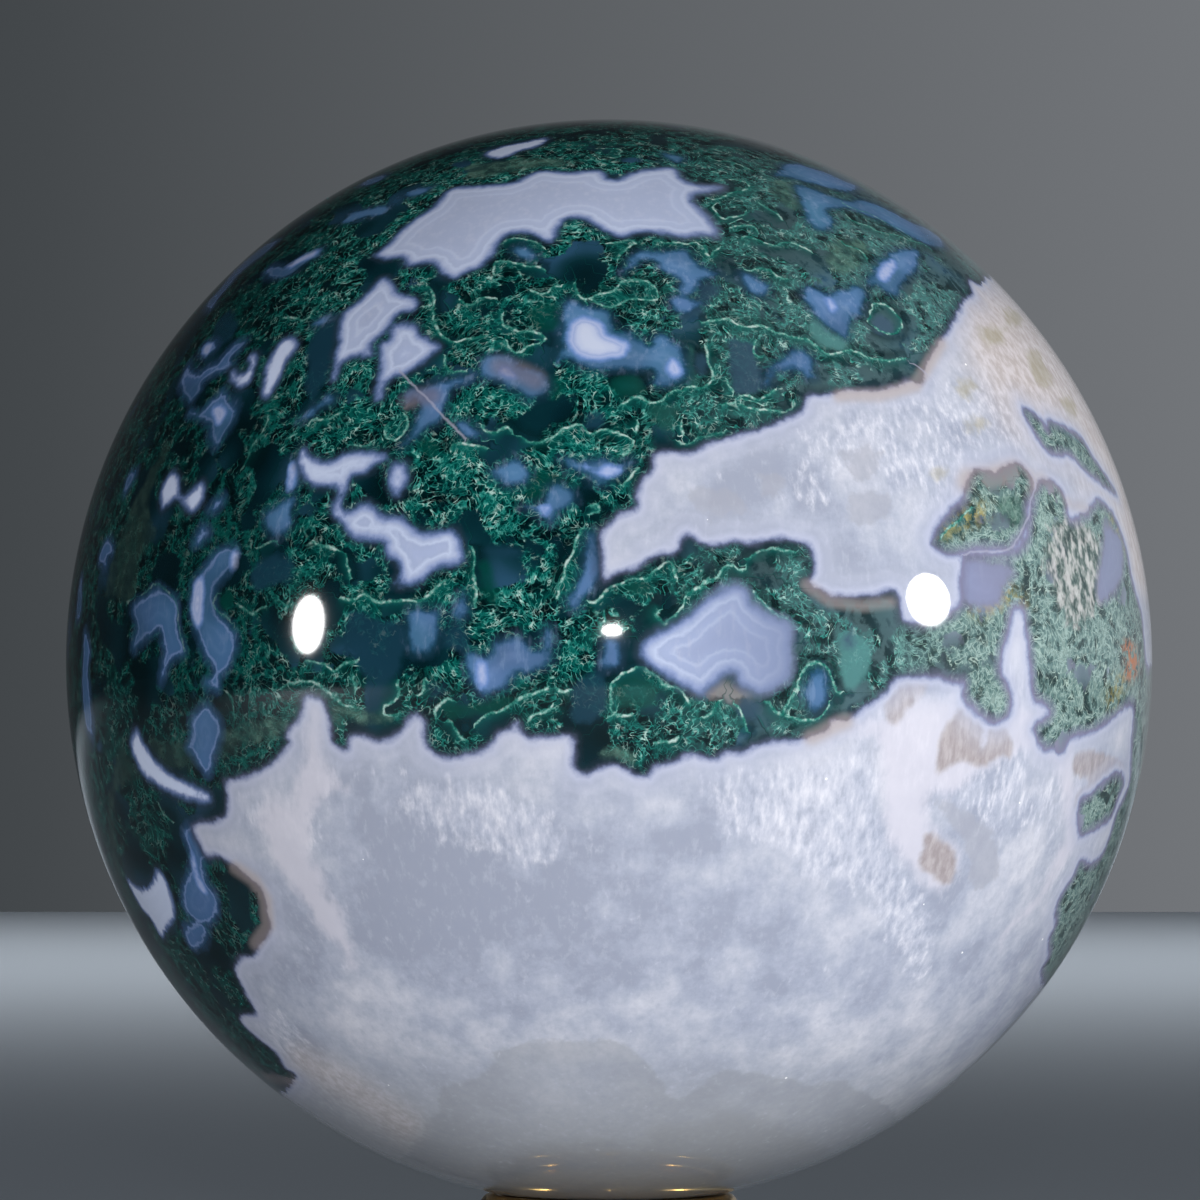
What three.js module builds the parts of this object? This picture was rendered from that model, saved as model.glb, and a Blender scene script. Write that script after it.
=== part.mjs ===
// A polished moss agate sphere resting on a turned brass ring stand.
// Millimetres, +Z up. The origin is the middle of the stand's flat underside, and +Y points to
// the back of the stone, away from the side that is shown.
import * as THREE from "three";

// Driving dimensions
const SPHERE_DIAMETER = 100;
const SPHERE_FACETS_PER_EDGE = 16; // even, so that a vertex lies on each axis and the diameter is true
const STAND_HEIGHT = 10; // from the table to the top of the lip
const FOOT_RADIUS = 14;
const LIP_SHARE = 0.211; // radius of the lip, as a share of the reach from the stone's centre
const REST_GAP = 0.1; // from the stone to the lip that carries it
const RING_STEPS = 64; // facets around the stand

// The lip is a full round along the top of the stand, and the stone touches its inner side.
const LIP_ROUND = 1.1;
const NECK_SET_IN = 0.4; // from the outside of the lip in to the upright wall
const NECK_FILLET = 0.6; // between the wall and the foot
const FOOT_ROUND = 0.5;
const FOOT_THICKNESS = 1.6;
const RECESS_RADIUS = 11.6; // the shallow recess under the foot
const RECESS_DEPTH = 0.4;
const ARC_STEPS = 4;
const LIP_STEPS = 12;

// Worked out from the driving dimensions
const SPHERE_RADIUS = SPHERE_DIAMETER / 2;
const LIP_ANGLE = Math.asin(LIP_SHARE); // from straight down, at the stone's centre
const LIP_TO_CENTRE = SPHERE_RADIUS + REST_GAP + LIP_ROUND;
const LIP_RADIUS = LIP_TO_CENTRE * LIP_SHARE; // ring through the middle of the rounding
const LIP_LEVEL = STAND_HEIGHT - LIP_ROUND;
const SPHERE_CENTRE_LEVEL = LIP_LEVEL + LIP_TO_CENTRE * Math.cos(LIP_ANGLE);
const BORE_RADIUS = LIP_RADIUS - LIP_ROUND;

const agate = new THREE.MeshStandardMaterial({ color: 0x8fa39b, roughness: 0.08, metalness: 0 });
const brass = new THREE.MeshStandardMaterial({ color: 0xb98a3a, roughness: 0.25, metalness: 1 });

// Points on an arc from one angle to another, in degrees, counted from +X towards +Y.
function arc(x, y, radius, from, to, steps) {
  const points = [];
  for (let i = 0; i <= steps; i++) {
    const turn = THREE.MathUtils.degToRad(from + ((to - from) * i) / steps);
    points.push(new THREE.Vector2(x + radius * Math.cos(turn), y + radius * Math.sin(turn)));
  }
  return points;
}

// The stand's section, as radius and height, anticlockwise from the inner edge of the underside.
function standSection() {
  const footShoulder = FOOT_RADIUS - FOOT_ROUND;
  const neckRadius = LIP_RADIUS + LIP_ROUND - NECK_SET_IN;
  const lipStart = -THREE.MathUtils.radToDeg(Math.acos((neckRadius - LIP_RADIUS) / LIP_ROUND));
  const filletRadius = neckRadius + NECK_FILLET;
  const filletLevel = FOOT_THICKNESS + NECK_FILLET;
  return [
    new THREE.Vector2(BORE_RADIUS, RECESS_DEPTH),
    new THREE.Vector2(RECESS_RADIUS, RECESS_DEPTH),
    new THREE.Vector2(RECESS_RADIUS + RECESS_DEPTH, 0),
    new THREE.Vector2(footShoulder, 0),
    ...arc(footShoulder, FOOT_ROUND, FOOT_ROUND, -60, 0, ARC_STEPS),
    ...arc(footShoulder, FOOT_THICKNESS - FOOT_ROUND, FOOT_ROUND, 0, 90, ARC_STEPS),
    ...arc(filletRadius, filletLevel, NECK_FILLET, 270, 180, ARC_STEPS),
    ...arc(LIP_RADIUS, LIP_LEVEL, LIP_ROUND, lipStart, 180, LIP_STEPS),
    new THREE.Vector2(BORE_RADIUS, RECESS_DEPTH),
  ];
}

function agateSphere() {
  const shape = new THREE.IcosahedronGeometry(SPHERE_RADIUS, SPHERE_FACETS_PER_EDGE - 1);
  const mesh = new THREE.Mesh(shape, agate);
  mesh.name = "agate_sphere";
  mesh.position.z = SPHERE_CENTRE_LEVEL;
  return mesh;
}

function ringStand() {
  const shape = new THREE.LatheGeometry(standSection(), RING_STEPS);
  shape.rotateX(Math.PI / 2); // a lathe turns about Y, and the stand stands along Z
  const mesh = new THREE.Mesh(shape, brass);
  mesh.name = "ring_stand";
  return mesh;
}

const mossAgateSphere = new THREE.Group();
mossAgateSphere.add(agateSphere(), ringStand());

export default mossAgateSphere;
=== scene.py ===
# %% [markdown]
# # A moss agate ball on a brass ring
# Moss agate is clear to milky quartz in which green minerals grew as tangled threads. A lapidary saws
# a block of it, grinds it round between two cups, and polishes it until it mirrors the room.
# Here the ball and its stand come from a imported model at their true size. Blender gives them the
# markings of the stone and the gleam of the metal, and never moves them.

import math

import bpy
import numpy as np
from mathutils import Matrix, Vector, kdtree, noise


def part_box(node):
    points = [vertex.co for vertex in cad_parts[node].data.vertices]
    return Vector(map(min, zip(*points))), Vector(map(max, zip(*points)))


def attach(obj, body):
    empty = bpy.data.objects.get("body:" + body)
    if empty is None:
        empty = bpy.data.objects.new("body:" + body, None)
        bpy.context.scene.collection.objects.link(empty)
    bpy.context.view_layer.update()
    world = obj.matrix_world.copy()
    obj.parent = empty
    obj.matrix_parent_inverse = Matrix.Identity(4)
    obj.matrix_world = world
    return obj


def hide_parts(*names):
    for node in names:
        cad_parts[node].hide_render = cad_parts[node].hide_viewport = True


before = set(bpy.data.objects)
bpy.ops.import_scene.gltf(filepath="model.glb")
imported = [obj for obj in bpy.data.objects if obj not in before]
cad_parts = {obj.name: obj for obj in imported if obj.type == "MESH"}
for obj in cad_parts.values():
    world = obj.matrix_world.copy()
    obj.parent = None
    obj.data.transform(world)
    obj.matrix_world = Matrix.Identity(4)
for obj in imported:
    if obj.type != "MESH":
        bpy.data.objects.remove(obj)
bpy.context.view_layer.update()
ball_low, ball_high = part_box("agate_sphere")
ball_centre = (ball_low + ball_high) / 2
ball_radius = (ball_high.x - ball_low.x) / 2
MM = 0.001
BALL_MM = ball_radius / MM
print("the ball is", round(2 * BALL_MM, 2), "mm across")

# %% [markdown]
# ## The camera comes first
# The stone's markings are known from one photograph, so the lens has to stand where it stood.
# A polished ball shows its own outline as a true circle only near the middle of a long lens, and
# its rim hides the stand's lip by an amount that depends on the distance. Twelve radii away, a little
# below the ball's middle, gives the same view of the lip.

# %% Place the camera
PHOTO_SIZE = 1200  # pixels along each side of the picture
PHOTO_CENTRE = (609, 662)  # the middle of the ball's outline, in pixels
PHOTO_RADIUS = 543  # the radius of that outline, in pixels
LEVEL_ROW = 750  # the row of pixels that lies level with the lens
CAMERA_RADII = 12  # from the lens to the ball's middle, counted in the ball's radii
SENSOR_MM = 36

lens_pixels = PHOTO_RADIUS * math.sqrt(CAMERA_RADII**2 - 1)
camera_distance = CAMERA_RADII * ball_radius
pixel_at_ball = camera_distance / lens_pixels
camera_drop = (LEVEL_ROW - PHOTO_CENTRE[1]) * pixel_at_ball
camera_back = math.sqrt(camera_distance**2 - camera_drop**2)
aim = ball_centre + Vector((
    (PHOTO_SIZE / 2 - PHOTO_CENTRE[0]) * pixel_at_ball,
    0,
    (PHOTO_CENTRE[1] - PHOTO_SIZE / 2) * pixel_at_ball,
))

bpy.ops.object.select_all(action="DESELECT")
bpy.ops.object.camera_add(location=ball_centre + Vector((0, -camera_back, -camera_drop)))
camera = bpy.context.object
camera.name = "camera"
camera.data.sensor_width = SENSOR_MM
camera.data.lens = SENSOR_MM * lens_pixels / PHOTO_SIZE
camera.data.clip_start = 0.01
camera.data.clip_end = 20
camera.rotation_euler = (aim - camera.location).to_track_quat("-Z", "Y").to_euler()
bpy.context.scene.camera = camera
bpy.context.view_layer.update()
print("the lens is", round(camera.data.lens), "mm long and", round(camera_distance, 3), "m away")

# %% [markdown]
# ## The ball
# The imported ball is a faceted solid. A mirror polish shows every facet, so the visible ball is a finer
# one in the same place. An icosphere has even triangles and no poles. Its side that faces the lens
# is subdivided once more, because the markings are stored on its points, and the Cast modifier then
# pushes every point out to the true radius.

# %% Model the ball
FINE_CAP_DEGREES = 76  # how far from the axis to the lens the finer triangles reach

bpy.ops.object.select_all(action="DESELECT")
bpy.ops.mesh.primitive_ico_sphere_add(subdivisions=7, radius=ball_radius, location=ball_centre)
ball = bpy.context.object
ball.name = "moss_agate_ball"
to_lens = (camera.location - ball_centre).normalized()
cap_cosine = math.cos(math.radians(FINE_CAP_DEGREES))
bpy.context.tool_settings.mesh_select_mode = (False, False, True)
bpy.ops.object.mode_set(mode="EDIT")
bpy.ops.mesh.select_all(action="DESELECT")
bpy.ops.object.mode_set(mode="OBJECT")
for face in ball.data.polygons:
    face.select = face.center.normalized().dot(to_lens) > cap_cosine
bpy.ops.object.mode_set(mode="EDIT")
bpy.ops.mesh.subdivide(number_cuts=1)
bpy.ops.mesh.select_all(action="SELECT")
bpy.ops.mesh.quads_convert_to_tris()
bpy.ops.object.mode_set(mode="OBJECT")
round_off = ball.modifiers.new("round", "CAST")
round_off.factor = 1
round_off.radius = 0
round_off.size = ball_radius
bpy.ops.object.modifier_apply(modifier="round")
bpy.ops.object.shade_smooth()
bpy.ops.object.transform_apply(location=True, rotation=True, scale=True)
print("the ball has", len(ball.data.polygons), "triangles")

# %% [markdown]
# ## A chart of the ball
# The outlines below are read from the photograph, in its pixels, and drawn on the ball with
# a chart: a pixel inside the outline of the ball is the point that the lens sees there. Past the
# outline, the chart goes on round the back at the same scale, so an outline can run over the edge.

# %% Chart the points
to_right = Vector((1, 0, 0))
to_top = to_lens.cross(to_right).normalized()
if to_top.z < 0:
    to_top.negate()
rim_angle = math.acos(1 / CAMERA_RADII)

coordinates = np.empty(len(ball.data.vertices) * 3, np.float32)
ball.data.vertices.foreach_get("co", coordinates)
unit = (coordinates.reshape(-1, 3) - np.array(ball_centre)) / ball_radius
unit /= np.linalg.norm(unit, axis=1)[:, None]
along = unit @ np.array(to_lens)
across = unit @ np.array(to_right)
upward = unit @ np.array(to_top)
from_axis = np.arccos(np.clip(along, -1, 1))
seen = lens_pixels * np.sin(from_axis) / (CAMERA_RADII - along)
behind = PHOTO_RADIUS * (1 + from_axis - rim_angle)
chart_reach = np.where(from_axis < rim_angle, seen, behind)
turn = np.arctan2(upward, across)
chart_x = PHOTO_CENTRE[0] + chart_reach * np.cos(turn)
chart_y = PHOTO_CENTRE[1] - chart_reach * np.sin(turn)


def on_ball(x, y):
    """The unit vector from the ball's middle to the point charted at a pixel."""
    right, down = x - PHOTO_CENTRE[0], y - PHOTO_CENTRE[1]
    reach = math.hypot(right, down)
    if reach < 1e-6:
        return to_lens.copy()
    if reach < PHOTO_RADIUS:
        slope = math.atan(reach / lens_pixels)
        angle = math.asin(min(1, CAMERA_RADII * math.sin(slope))) - slope
    else:
        angle = rim_angle + reach / PHOTO_RADIUS - 1
    sideways = (to_right * right - to_top * down) / reach
    return to_lens * math.cos(angle) + sideways * math.sin(angle)


print("charted", len(unit), "points")

# %% [markdown]
# ## From outlines to distances
# A sharp edge can't be stored on points that are half a millimetre apart, but the distance to that edge
# can: it changes evenly, and the shader cuts it at zero. Each field below is such a distance in millimetres,
# above zero inside an outline. The outlines are rounded with a spline first, because nothing in
# the stone has a straight side.

# %% Measure distances
STEP_PIXELS = 2.5  # between the samples of an outline


def rounded(outline, closed=True):
    """A line through the same points, with a smooth bend at each."""
    points = np.array(outline, float)
    count = len(points)
    bent = []
    for i in range(count if closed else count - 1):
        places = [(i + k) % count if closed else min(max(i + k, 0), count - 1) for k in (-1, 0, 1, 2)]
        before, start, end, after = points[places]
        steps = max(2, round(np.hypot(*(end - start)) / STEP_PIXELS))
        for t in np.arange(steps) / steps:
            bent.append(0.5 * (
                2 * start + (end - before) * t
                + (2 * before - 5 * start + 4 * end - after) * t**2
                + (3 * start - before - 3 * end + after) * t**3
            ))
    return np.array(bent)


def covered(line):
    """Which points of the ball lie inside a closed line of the chart."""
    inside = np.zeros(len(unit), bool)
    low, high = line.min(0), line.max(0)
    near = np.flatnonzero(
        (chart_x > low[0]) & (chart_x < high[0]) & (chart_y > low[1]) & (chart_y < high[1])
    )
    x, y = chart_x[near], chart_y[near]
    odd = np.zeros(len(near), bool)
    for (x0, y0), (x1, y1) in zip(line, np.roll(line, -1, axis=0)):
        if y0 != y1:
            crosses = (y0 > y) != (y1 > y)
            odd ^= crosses & (x < x0 + (y - y0) * (x1 - x0) / (y1 - y0))
    inside[near] = odd
    return inside


def millimetres_to(lines):
    """The distance from each point of the ball to the nearest of some lines of the chart."""
    samples = [on_ball(x, y) for line in lines for x, y in line]
    tree = kdtree.KDTree(len(samples))
    for i, sample in enumerate(samples):
        tree.insert(sample, i)
    tree.balance()
    return np.array([tree.find(point)[2] for point in unit]) * BALL_MM


def field(outlines):
    """Millimetres to the nearest outline, above zero inside any of them."""
    lines = [rounded(outline) for outline in outlines]
    inside = np.any([covered(line) for line in lines], axis=0)
    return millimetres_to(lines) * np.where(inside, 1, -1)


def beside(strokes):
    """Millimetres to the nearest open line, more past its ends, and 1 on its right hand or -1."""
    lines = [rounded(stroke, closed=False) for stroke in strokes]
    places = np.concatenate(lines)
    ways = np.concatenate([np.gradient(line, axis=0) for line in lines])
    ways /= np.linalg.norm(ways, axis=1)[:, None]
    ends = np.concatenate([[-1] + [0] * (len(line) - 2) + [1] for line in lines])
    tree = kdtree.KDTree(len(places))
    for i, (x, y) in enumerate(places):
        tree.insert(on_ball(x, y), i)
    tree.balance()
    found = [tree.find(point)[1:] for point in unit]
    nearest = np.array([index for index, _ in found])
    apart = np.array([distance for _, distance in found]) * BALL_MM
    off = np.stack([chart_x, chart_y], axis=1) - places[nearest]
    way = ways[nearest]
    side = np.where(way[:, 0] * off[:, 1] - way[:, 1] * off[:, 0] > 0, 1, -1)
    past = np.clip(ends[nearest] * (off * way).sum(axis=1) / STEP_PIXELS, 0, 8)
    return apart + past, side


def store(name, values):
    """Keeps one number for each point of the ball, where its material can read it."""
    attribute = ball.data.attributes.new(name, "FLOAT", "POINT")
    attribute.data.foreach_set("value", values.astype(np.float32))
    print(name, "runs from", round(float(values.min()), 2), "to", round(float(values.max()), 2))


# %% [markdown]
# ## Where quartz takes over from moss
# The lower half of the ball is milky quartz with a scalloped upper edge. A second body of quartz runs
# in from the right. Both carry on round the back, where nobody saw them: there the edge follows
# slow noise, blended in past the ball's rim, so the stone has no seam.

# %% Outline the quartz
LOWER_QUARTZ = [
    (293, 1081), (284, 1067), (276, 1052), (263, 1042), (246, 1027), (241, 1016), (256, 1014),
    (252, 1004), (241, 983), (236, 970), (241, 958), (255, 954), (261, 943), (270, 932), (268, 913),
    (263, 890), (249, 876), (232, 863), (219, 857), (207, 855), (202, 847), (194, 830), (198, 823),
    (213, 821), (224, 817), (228, 802), (226, 782), (232, 780), (251, 775), (267, 767), (280, 756),
    (290, 742), (286, 736), (295, 723), (303, 708), (305, 696), (322, 700), (328, 717), (332, 736),
    (334, 744), (347, 750), (351, 736), (361, 735), (374, 740), (385, 740), (399, 733), (410, 719),
    (416, 715), (424, 723), (424, 738), (431, 750), (445, 757), (460, 756), (483, 750), (494, 740),
    (498, 733), (508, 731), (517, 723), (521, 731), (533, 737), (550, 737), (565, 735), (573, 737),
    (574, 750), (573, 763), (579, 773), (588, 774), (602, 767), (613, 765), (629, 771), (638, 776),
    (648, 775), (655, 767), (676, 761), (686, 755), (696, 756), (707, 759), (719, 758), (726, 752),
    (743, 752), (759, 744), (784, 741), (791, 742), (826, 731), (833, 721), (849, 719), (864, 708),
    (877, 698), (887, 691), (898, 679), (931, 677), (952, 683), (963, 683), (963, 698), (972, 709),
    (990, 722), (1005, 719), (1012, 704), (1009, 688), (1001, 672), (1003, 650), (1010, 630),
    (1013, 612), (1022, 611), (1027, 640), (1030, 668), (1033, 698), (1047, 706), (1049, 715),
    (1034, 725), (1035, 736), (1042, 748), (1053, 750), (1063, 752), (1070, 738), (1090, 733),
    (1109, 721), (1132, 706), (1131, 737), (1130, 763), (1128, 786), (1116, 813), (1109, 836),
    (1101, 855), (1090, 863), (1082, 859), (1078, 863), (1072, 878), (1063, 890), (1055, 909),
    (1055, 924), (1049, 937), (1047, 958), (1041, 975), (1062, 1012), (1120, 1080), (1205, 1180),
    (1290, 1290), (1100, 1480), (850, 1590), (609, 1612), (370, 1590), (120, 1480), (40, 1360),
    (150, 1235), (235, 1140),
]
UPPER_QUARTZ = [
    (603, 579), (602, 555), (602, 531), (619, 516), (636, 508), (638, 495), (640, 483), (652, 470),
    (655, 456), (671, 452), (690, 453), (707, 445), (734, 437), (763, 428), (784, 420), (803, 409),
    (808, 397), (826, 395), (849, 390), (872, 391), (898, 386), (910, 380), (920, 384), (926, 366),
    (935, 348), (952, 324), (963, 301), (973, 295), (969, 280), (984, 282), (1012, 236), (1052, 204),
    (1104, 226), (1150, 214), (1204, 262), (1222, 330), (1282, 372), (1292, 430), (1256, 480), (1264, 540),
    (1216, 580), (1204, 640), (1156, 662), (1147, 668), (1144, 640),
    (1141, 612), (1132, 580), (1125, 545), (1112, 512), (1097, 500), (1086, 512), (1070, 518),
    (1066, 502), (1059, 487), (1047, 480), (1036, 486), (1030, 510), (1024, 541), (1009, 552),
    (979, 552), (963, 556), (960, 580), (957, 606), (930, 620), (906, 622), (900, 602), (895, 592),
    (883, 592), (868, 596), (843, 596), (830, 596), (809, 583), (814, 571), (814, 556), (810, 546),
    (799, 541), (772, 539), (757, 543), (734, 541), (722, 543), (707, 546), (698, 541), (690, 534),
    (682, 539), (678, 550), (665, 554), (648, 560), (638, 567), (619, 573),
]
MOSS_IN_QUARTZ = [
    [
        (931, 544), (936, 527), (948, 512), (961, 500), (965, 487), (971, 472), (982, 470),
        (994, 472), (1005, 466), (1017, 462), (1026, 470), (1032, 480), (1032, 495), (1028, 510),
        (1028, 525), (1019, 541), (1009, 550), (994, 550), (979, 550), (963, 554), (946, 554),
    ],
    [
        (1023, 409), (1030, 411), (1042, 420), (1046, 428), (1049, 420), (1067, 428), (1082, 439),
        (1095, 460), (1109, 480), (1116, 495), (1099, 483), (1086, 472), (1070, 456), (1057, 456),
        (1046, 451), (1038, 439), (1028, 424),
    ],
    [
        (1080, 800), (1092, 792), (1104, 780), (1118, 772), (1124, 782), (1118, 798), (1111, 817),
        (1100, 826), (1088, 833), (1080, 836), (1077, 820),
    ],
]
BACK_STARTS_DEGREES = 98  # from the axis to the lens, where the made-up markings begin
BACK_RULES_DEGREES = 118  # where only they are left
QUARTZ_NOISE_MM = 34
QUARTZ_SWING_MM = 22
QUARTZ_TOP_MM = -8  # on the back the quartz fills the ball up to about this height over its middle


def slow_noise(size_mm, offset):
    """Smooth noise from about -1 to 1 at each point of the ball, with bumps of about that size."""
    shift = Vector((offset, -offset, 2 * offset))
    scale = BALL_MM / size_mm
    return np.array([noise.noise(Vector(point) * scale + shift) for point in unit])


degrees = np.degrees(from_axis) + 9 * slow_noise(16, 5.5)
back_share = (degrees - BACK_STARTS_DEGREES) / (BACK_RULES_DEGREES - BACK_STARTS_DEGREES)
back_share = np.clip(back_share, 0, 1)
back_share = back_share**2 * (3 - 2 * back_share)
back_quartz = (
    QUARTZ_TOP_MM
    - unit[:, 2] * BALL_MM * 0.55
    + QUARTZ_SWING_MM * slow_noise(QUARTZ_NOISE_MM, 3.1)
    + 0.3 * QUARTZ_SWING_MM * slow_noise(QUARTZ_NOISE_MM / 4, 7.7)
)
front_quartz = np.maximum(field([LOWER_QUARTZ]), field([UPPER_QUARTZ]))
front_quartz = np.minimum(front_quartz, -field(MOSS_IN_QUARTZ))
quartz_mm = front_quartz * (1 - back_share) + back_quartz * back_share
store("quartz_mm", quartz_mm)

# %% [markdown]
# ## Islands in the moss
# Where a gap was left between the threads, the silica that seeped in last closed it from the walls
# inwards. Each gap became an island of banded agate, white or lavender with a blue rim. The dim ones lie
# a little under the surface and look slate blue.

# %% Outline the islands
WHITE_ISLANDS = [
    [
        (376, 255), (382, 250), (393, 240), (405, 227), (422, 215), (435, 206), (445, 194), (456, 188),
        (483, 186), (512, 183), (525, 177), (542, 171), (569, 173), (598, 171), (607, 179), (619, 179),
        (634, 173), (652, 169), (673, 169), (682, 179), (696, 185), (722, 187), (707, 192), (694, 194),
        (692, 202), (703, 213), (713, 225), (715, 236), (703, 234), (682, 237), (667, 234), (638, 232),
        (623, 236), (604, 230), (592, 223), (581, 217), (567, 219), (558, 227), (554, 238), (548, 242),
        (537, 236), (523, 232), (508, 234), (498, 242), (491, 255), (481, 265), (468, 271), (456, 277),
        (445, 275), (435, 263), (422, 263), (410, 265), (401, 257), (387, 259),
    ],
    [
        (384, 278), (393, 286), (397, 294), (410, 296), (417, 301), (414, 309), (399, 313), (391, 322),
        (382, 334), (370, 343), (371, 355), (353, 357), (341, 364), (333, 380), (338, 345), (341, 320),
        (349, 309), (364, 297), (376, 284),
    ],
    [
        (401, 324), (416, 326), (420, 336), (437, 345), (433, 353), (420, 364), (406, 372), (395, 376),
        (385, 385), (380, 399), (375, 396), (378, 380), (382, 366), (380, 345), (391, 341), (393, 328),
    ],
    [
        (299, 456), (304, 449), (309, 456), (322, 462), (335, 460), (349, 453), (384, 455), (376, 464),
        (364, 472), (351, 476), (347, 487), (341, 501), (345, 512), (355, 510), (364, 503), (374, 508),
        (384, 518), (401, 518), (412, 529), (426, 533), (443, 531), (454, 531), (460, 544), (462, 560),
        (452, 564), (437, 567), (426, 575), (416, 583), (397, 583), (401, 575), (399, 564), (387, 552),
        (385, 541), (368, 539), (353, 537), (343, 524), (333, 510), (339, 494), (336, 486), (318, 486),
        (307, 481), (301, 470),
    ],
    [
        (640, 651), (657, 634), (680, 623), (699, 607), (716, 594), (734, 586), (745, 592), (751, 604),
        (765, 615), (782, 622), (790, 630), (788, 648), (790, 663), (785, 677), (772, 687), (758, 691),
        (742, 684), (735, 672), (722, 674), (712, 683), (702, 692), (690, 688), (667, 675), (650, 664),
    ],
    [(162, 508), (161, 492), (166, 480), (173, 472), (178, 478), (180, 492), (184, 496), (190, 492), (198, 486), (203, 484), (204, 494), (200, 504), (192, 512), (186, 506), (178, 498), (170, 502)],
    [(128, 880), (142, 889), (154, 880), (158, 870), (167, 882), (175, 913), (167, 930), (161, 936), (152, 920), (140, 905)],
    [(131, 744), (137, 731), (143, 742), (154, 759), (169, 773), (190, 784), (210, 795), (208, 803), (196, 801), (175, 794), (156, 784), (141, 770)],
    [(282, 341), (291, 338), (297, 346), (287, 360), (279, 378), (268, 397), (263, 392), (266, 370), (274, 352)],
    [(485, 154), (500, 147), (520, 143), (545, 138), (540, 145), (520, 151), (500, 158)],
    [(392, 467), (403, 463), (408, 474), (402, 490), (396, 495), (390, 482)],
    [(230, 378), (232, 370), (237, 374), (244, 374), (250, 366), (249, 358), (252, 354), (256, 356), (254, 368), (250, 380), (242, 386), (234, 384)],
]
HEARTS = [
    [(570, 328), (576, 320), (584, 317), (594, 320), (602, 326), (606, 334), (616, 338), (627, 342), (628, 350), (622, 356), (610, 358), (596, 360), (584, 358), (574, 352), (568, 342)],
    [(670, 374), (668, 366), (672, 360), (677, 364), (681, 372), (676, 376)],
    [(586, 467), (596, 470), (608, 466), (620, 468), (614, 476), (606, 477), (596, 472)],
    [(540, 508), (546, 506), (549, 509), (546, 515), (542, 513)],
    [(826, 298), (832, 300), (836, 308), (832, 312), (828, 305)],
    [(878, 276), (882, 268), (888, 262), (894, 260), (896, 266), (890, 274), (886, 280), (880, 280)],
    [(501, 373), (504, 367), (510, 370), (515, 377), (508, 377)],
    [(478, 664), (484, 662), (487, 672), (486, 684), (481, 688), (478, 678)],
    [(213, 408), (220, 406), (226, 412), (222, 420), (218, 424), (214, 416)],
    [(286, 266), (296, 260), (308, 253), (318, 250), (312, 257), (300, 262), (290, 268)],
    [(192, 600), (196, 582), (203, 578), (203, 600), (201, 624), (196, 626), (192, 614)],
    [(231, 556), (236, 549), (240, 554), (240, 566), (234, 570), (231, 564)],
    [(203, 352), (206, 345), (212, 344), (210, 350), (206, 355)],
    [(288, 486), (289, 470), (294, 462), (297, 470), (293, 484), (290, 492)],
    [(192, 852), (198, 872), (206, 892), (200, 888), (194, 872)],
]
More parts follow.
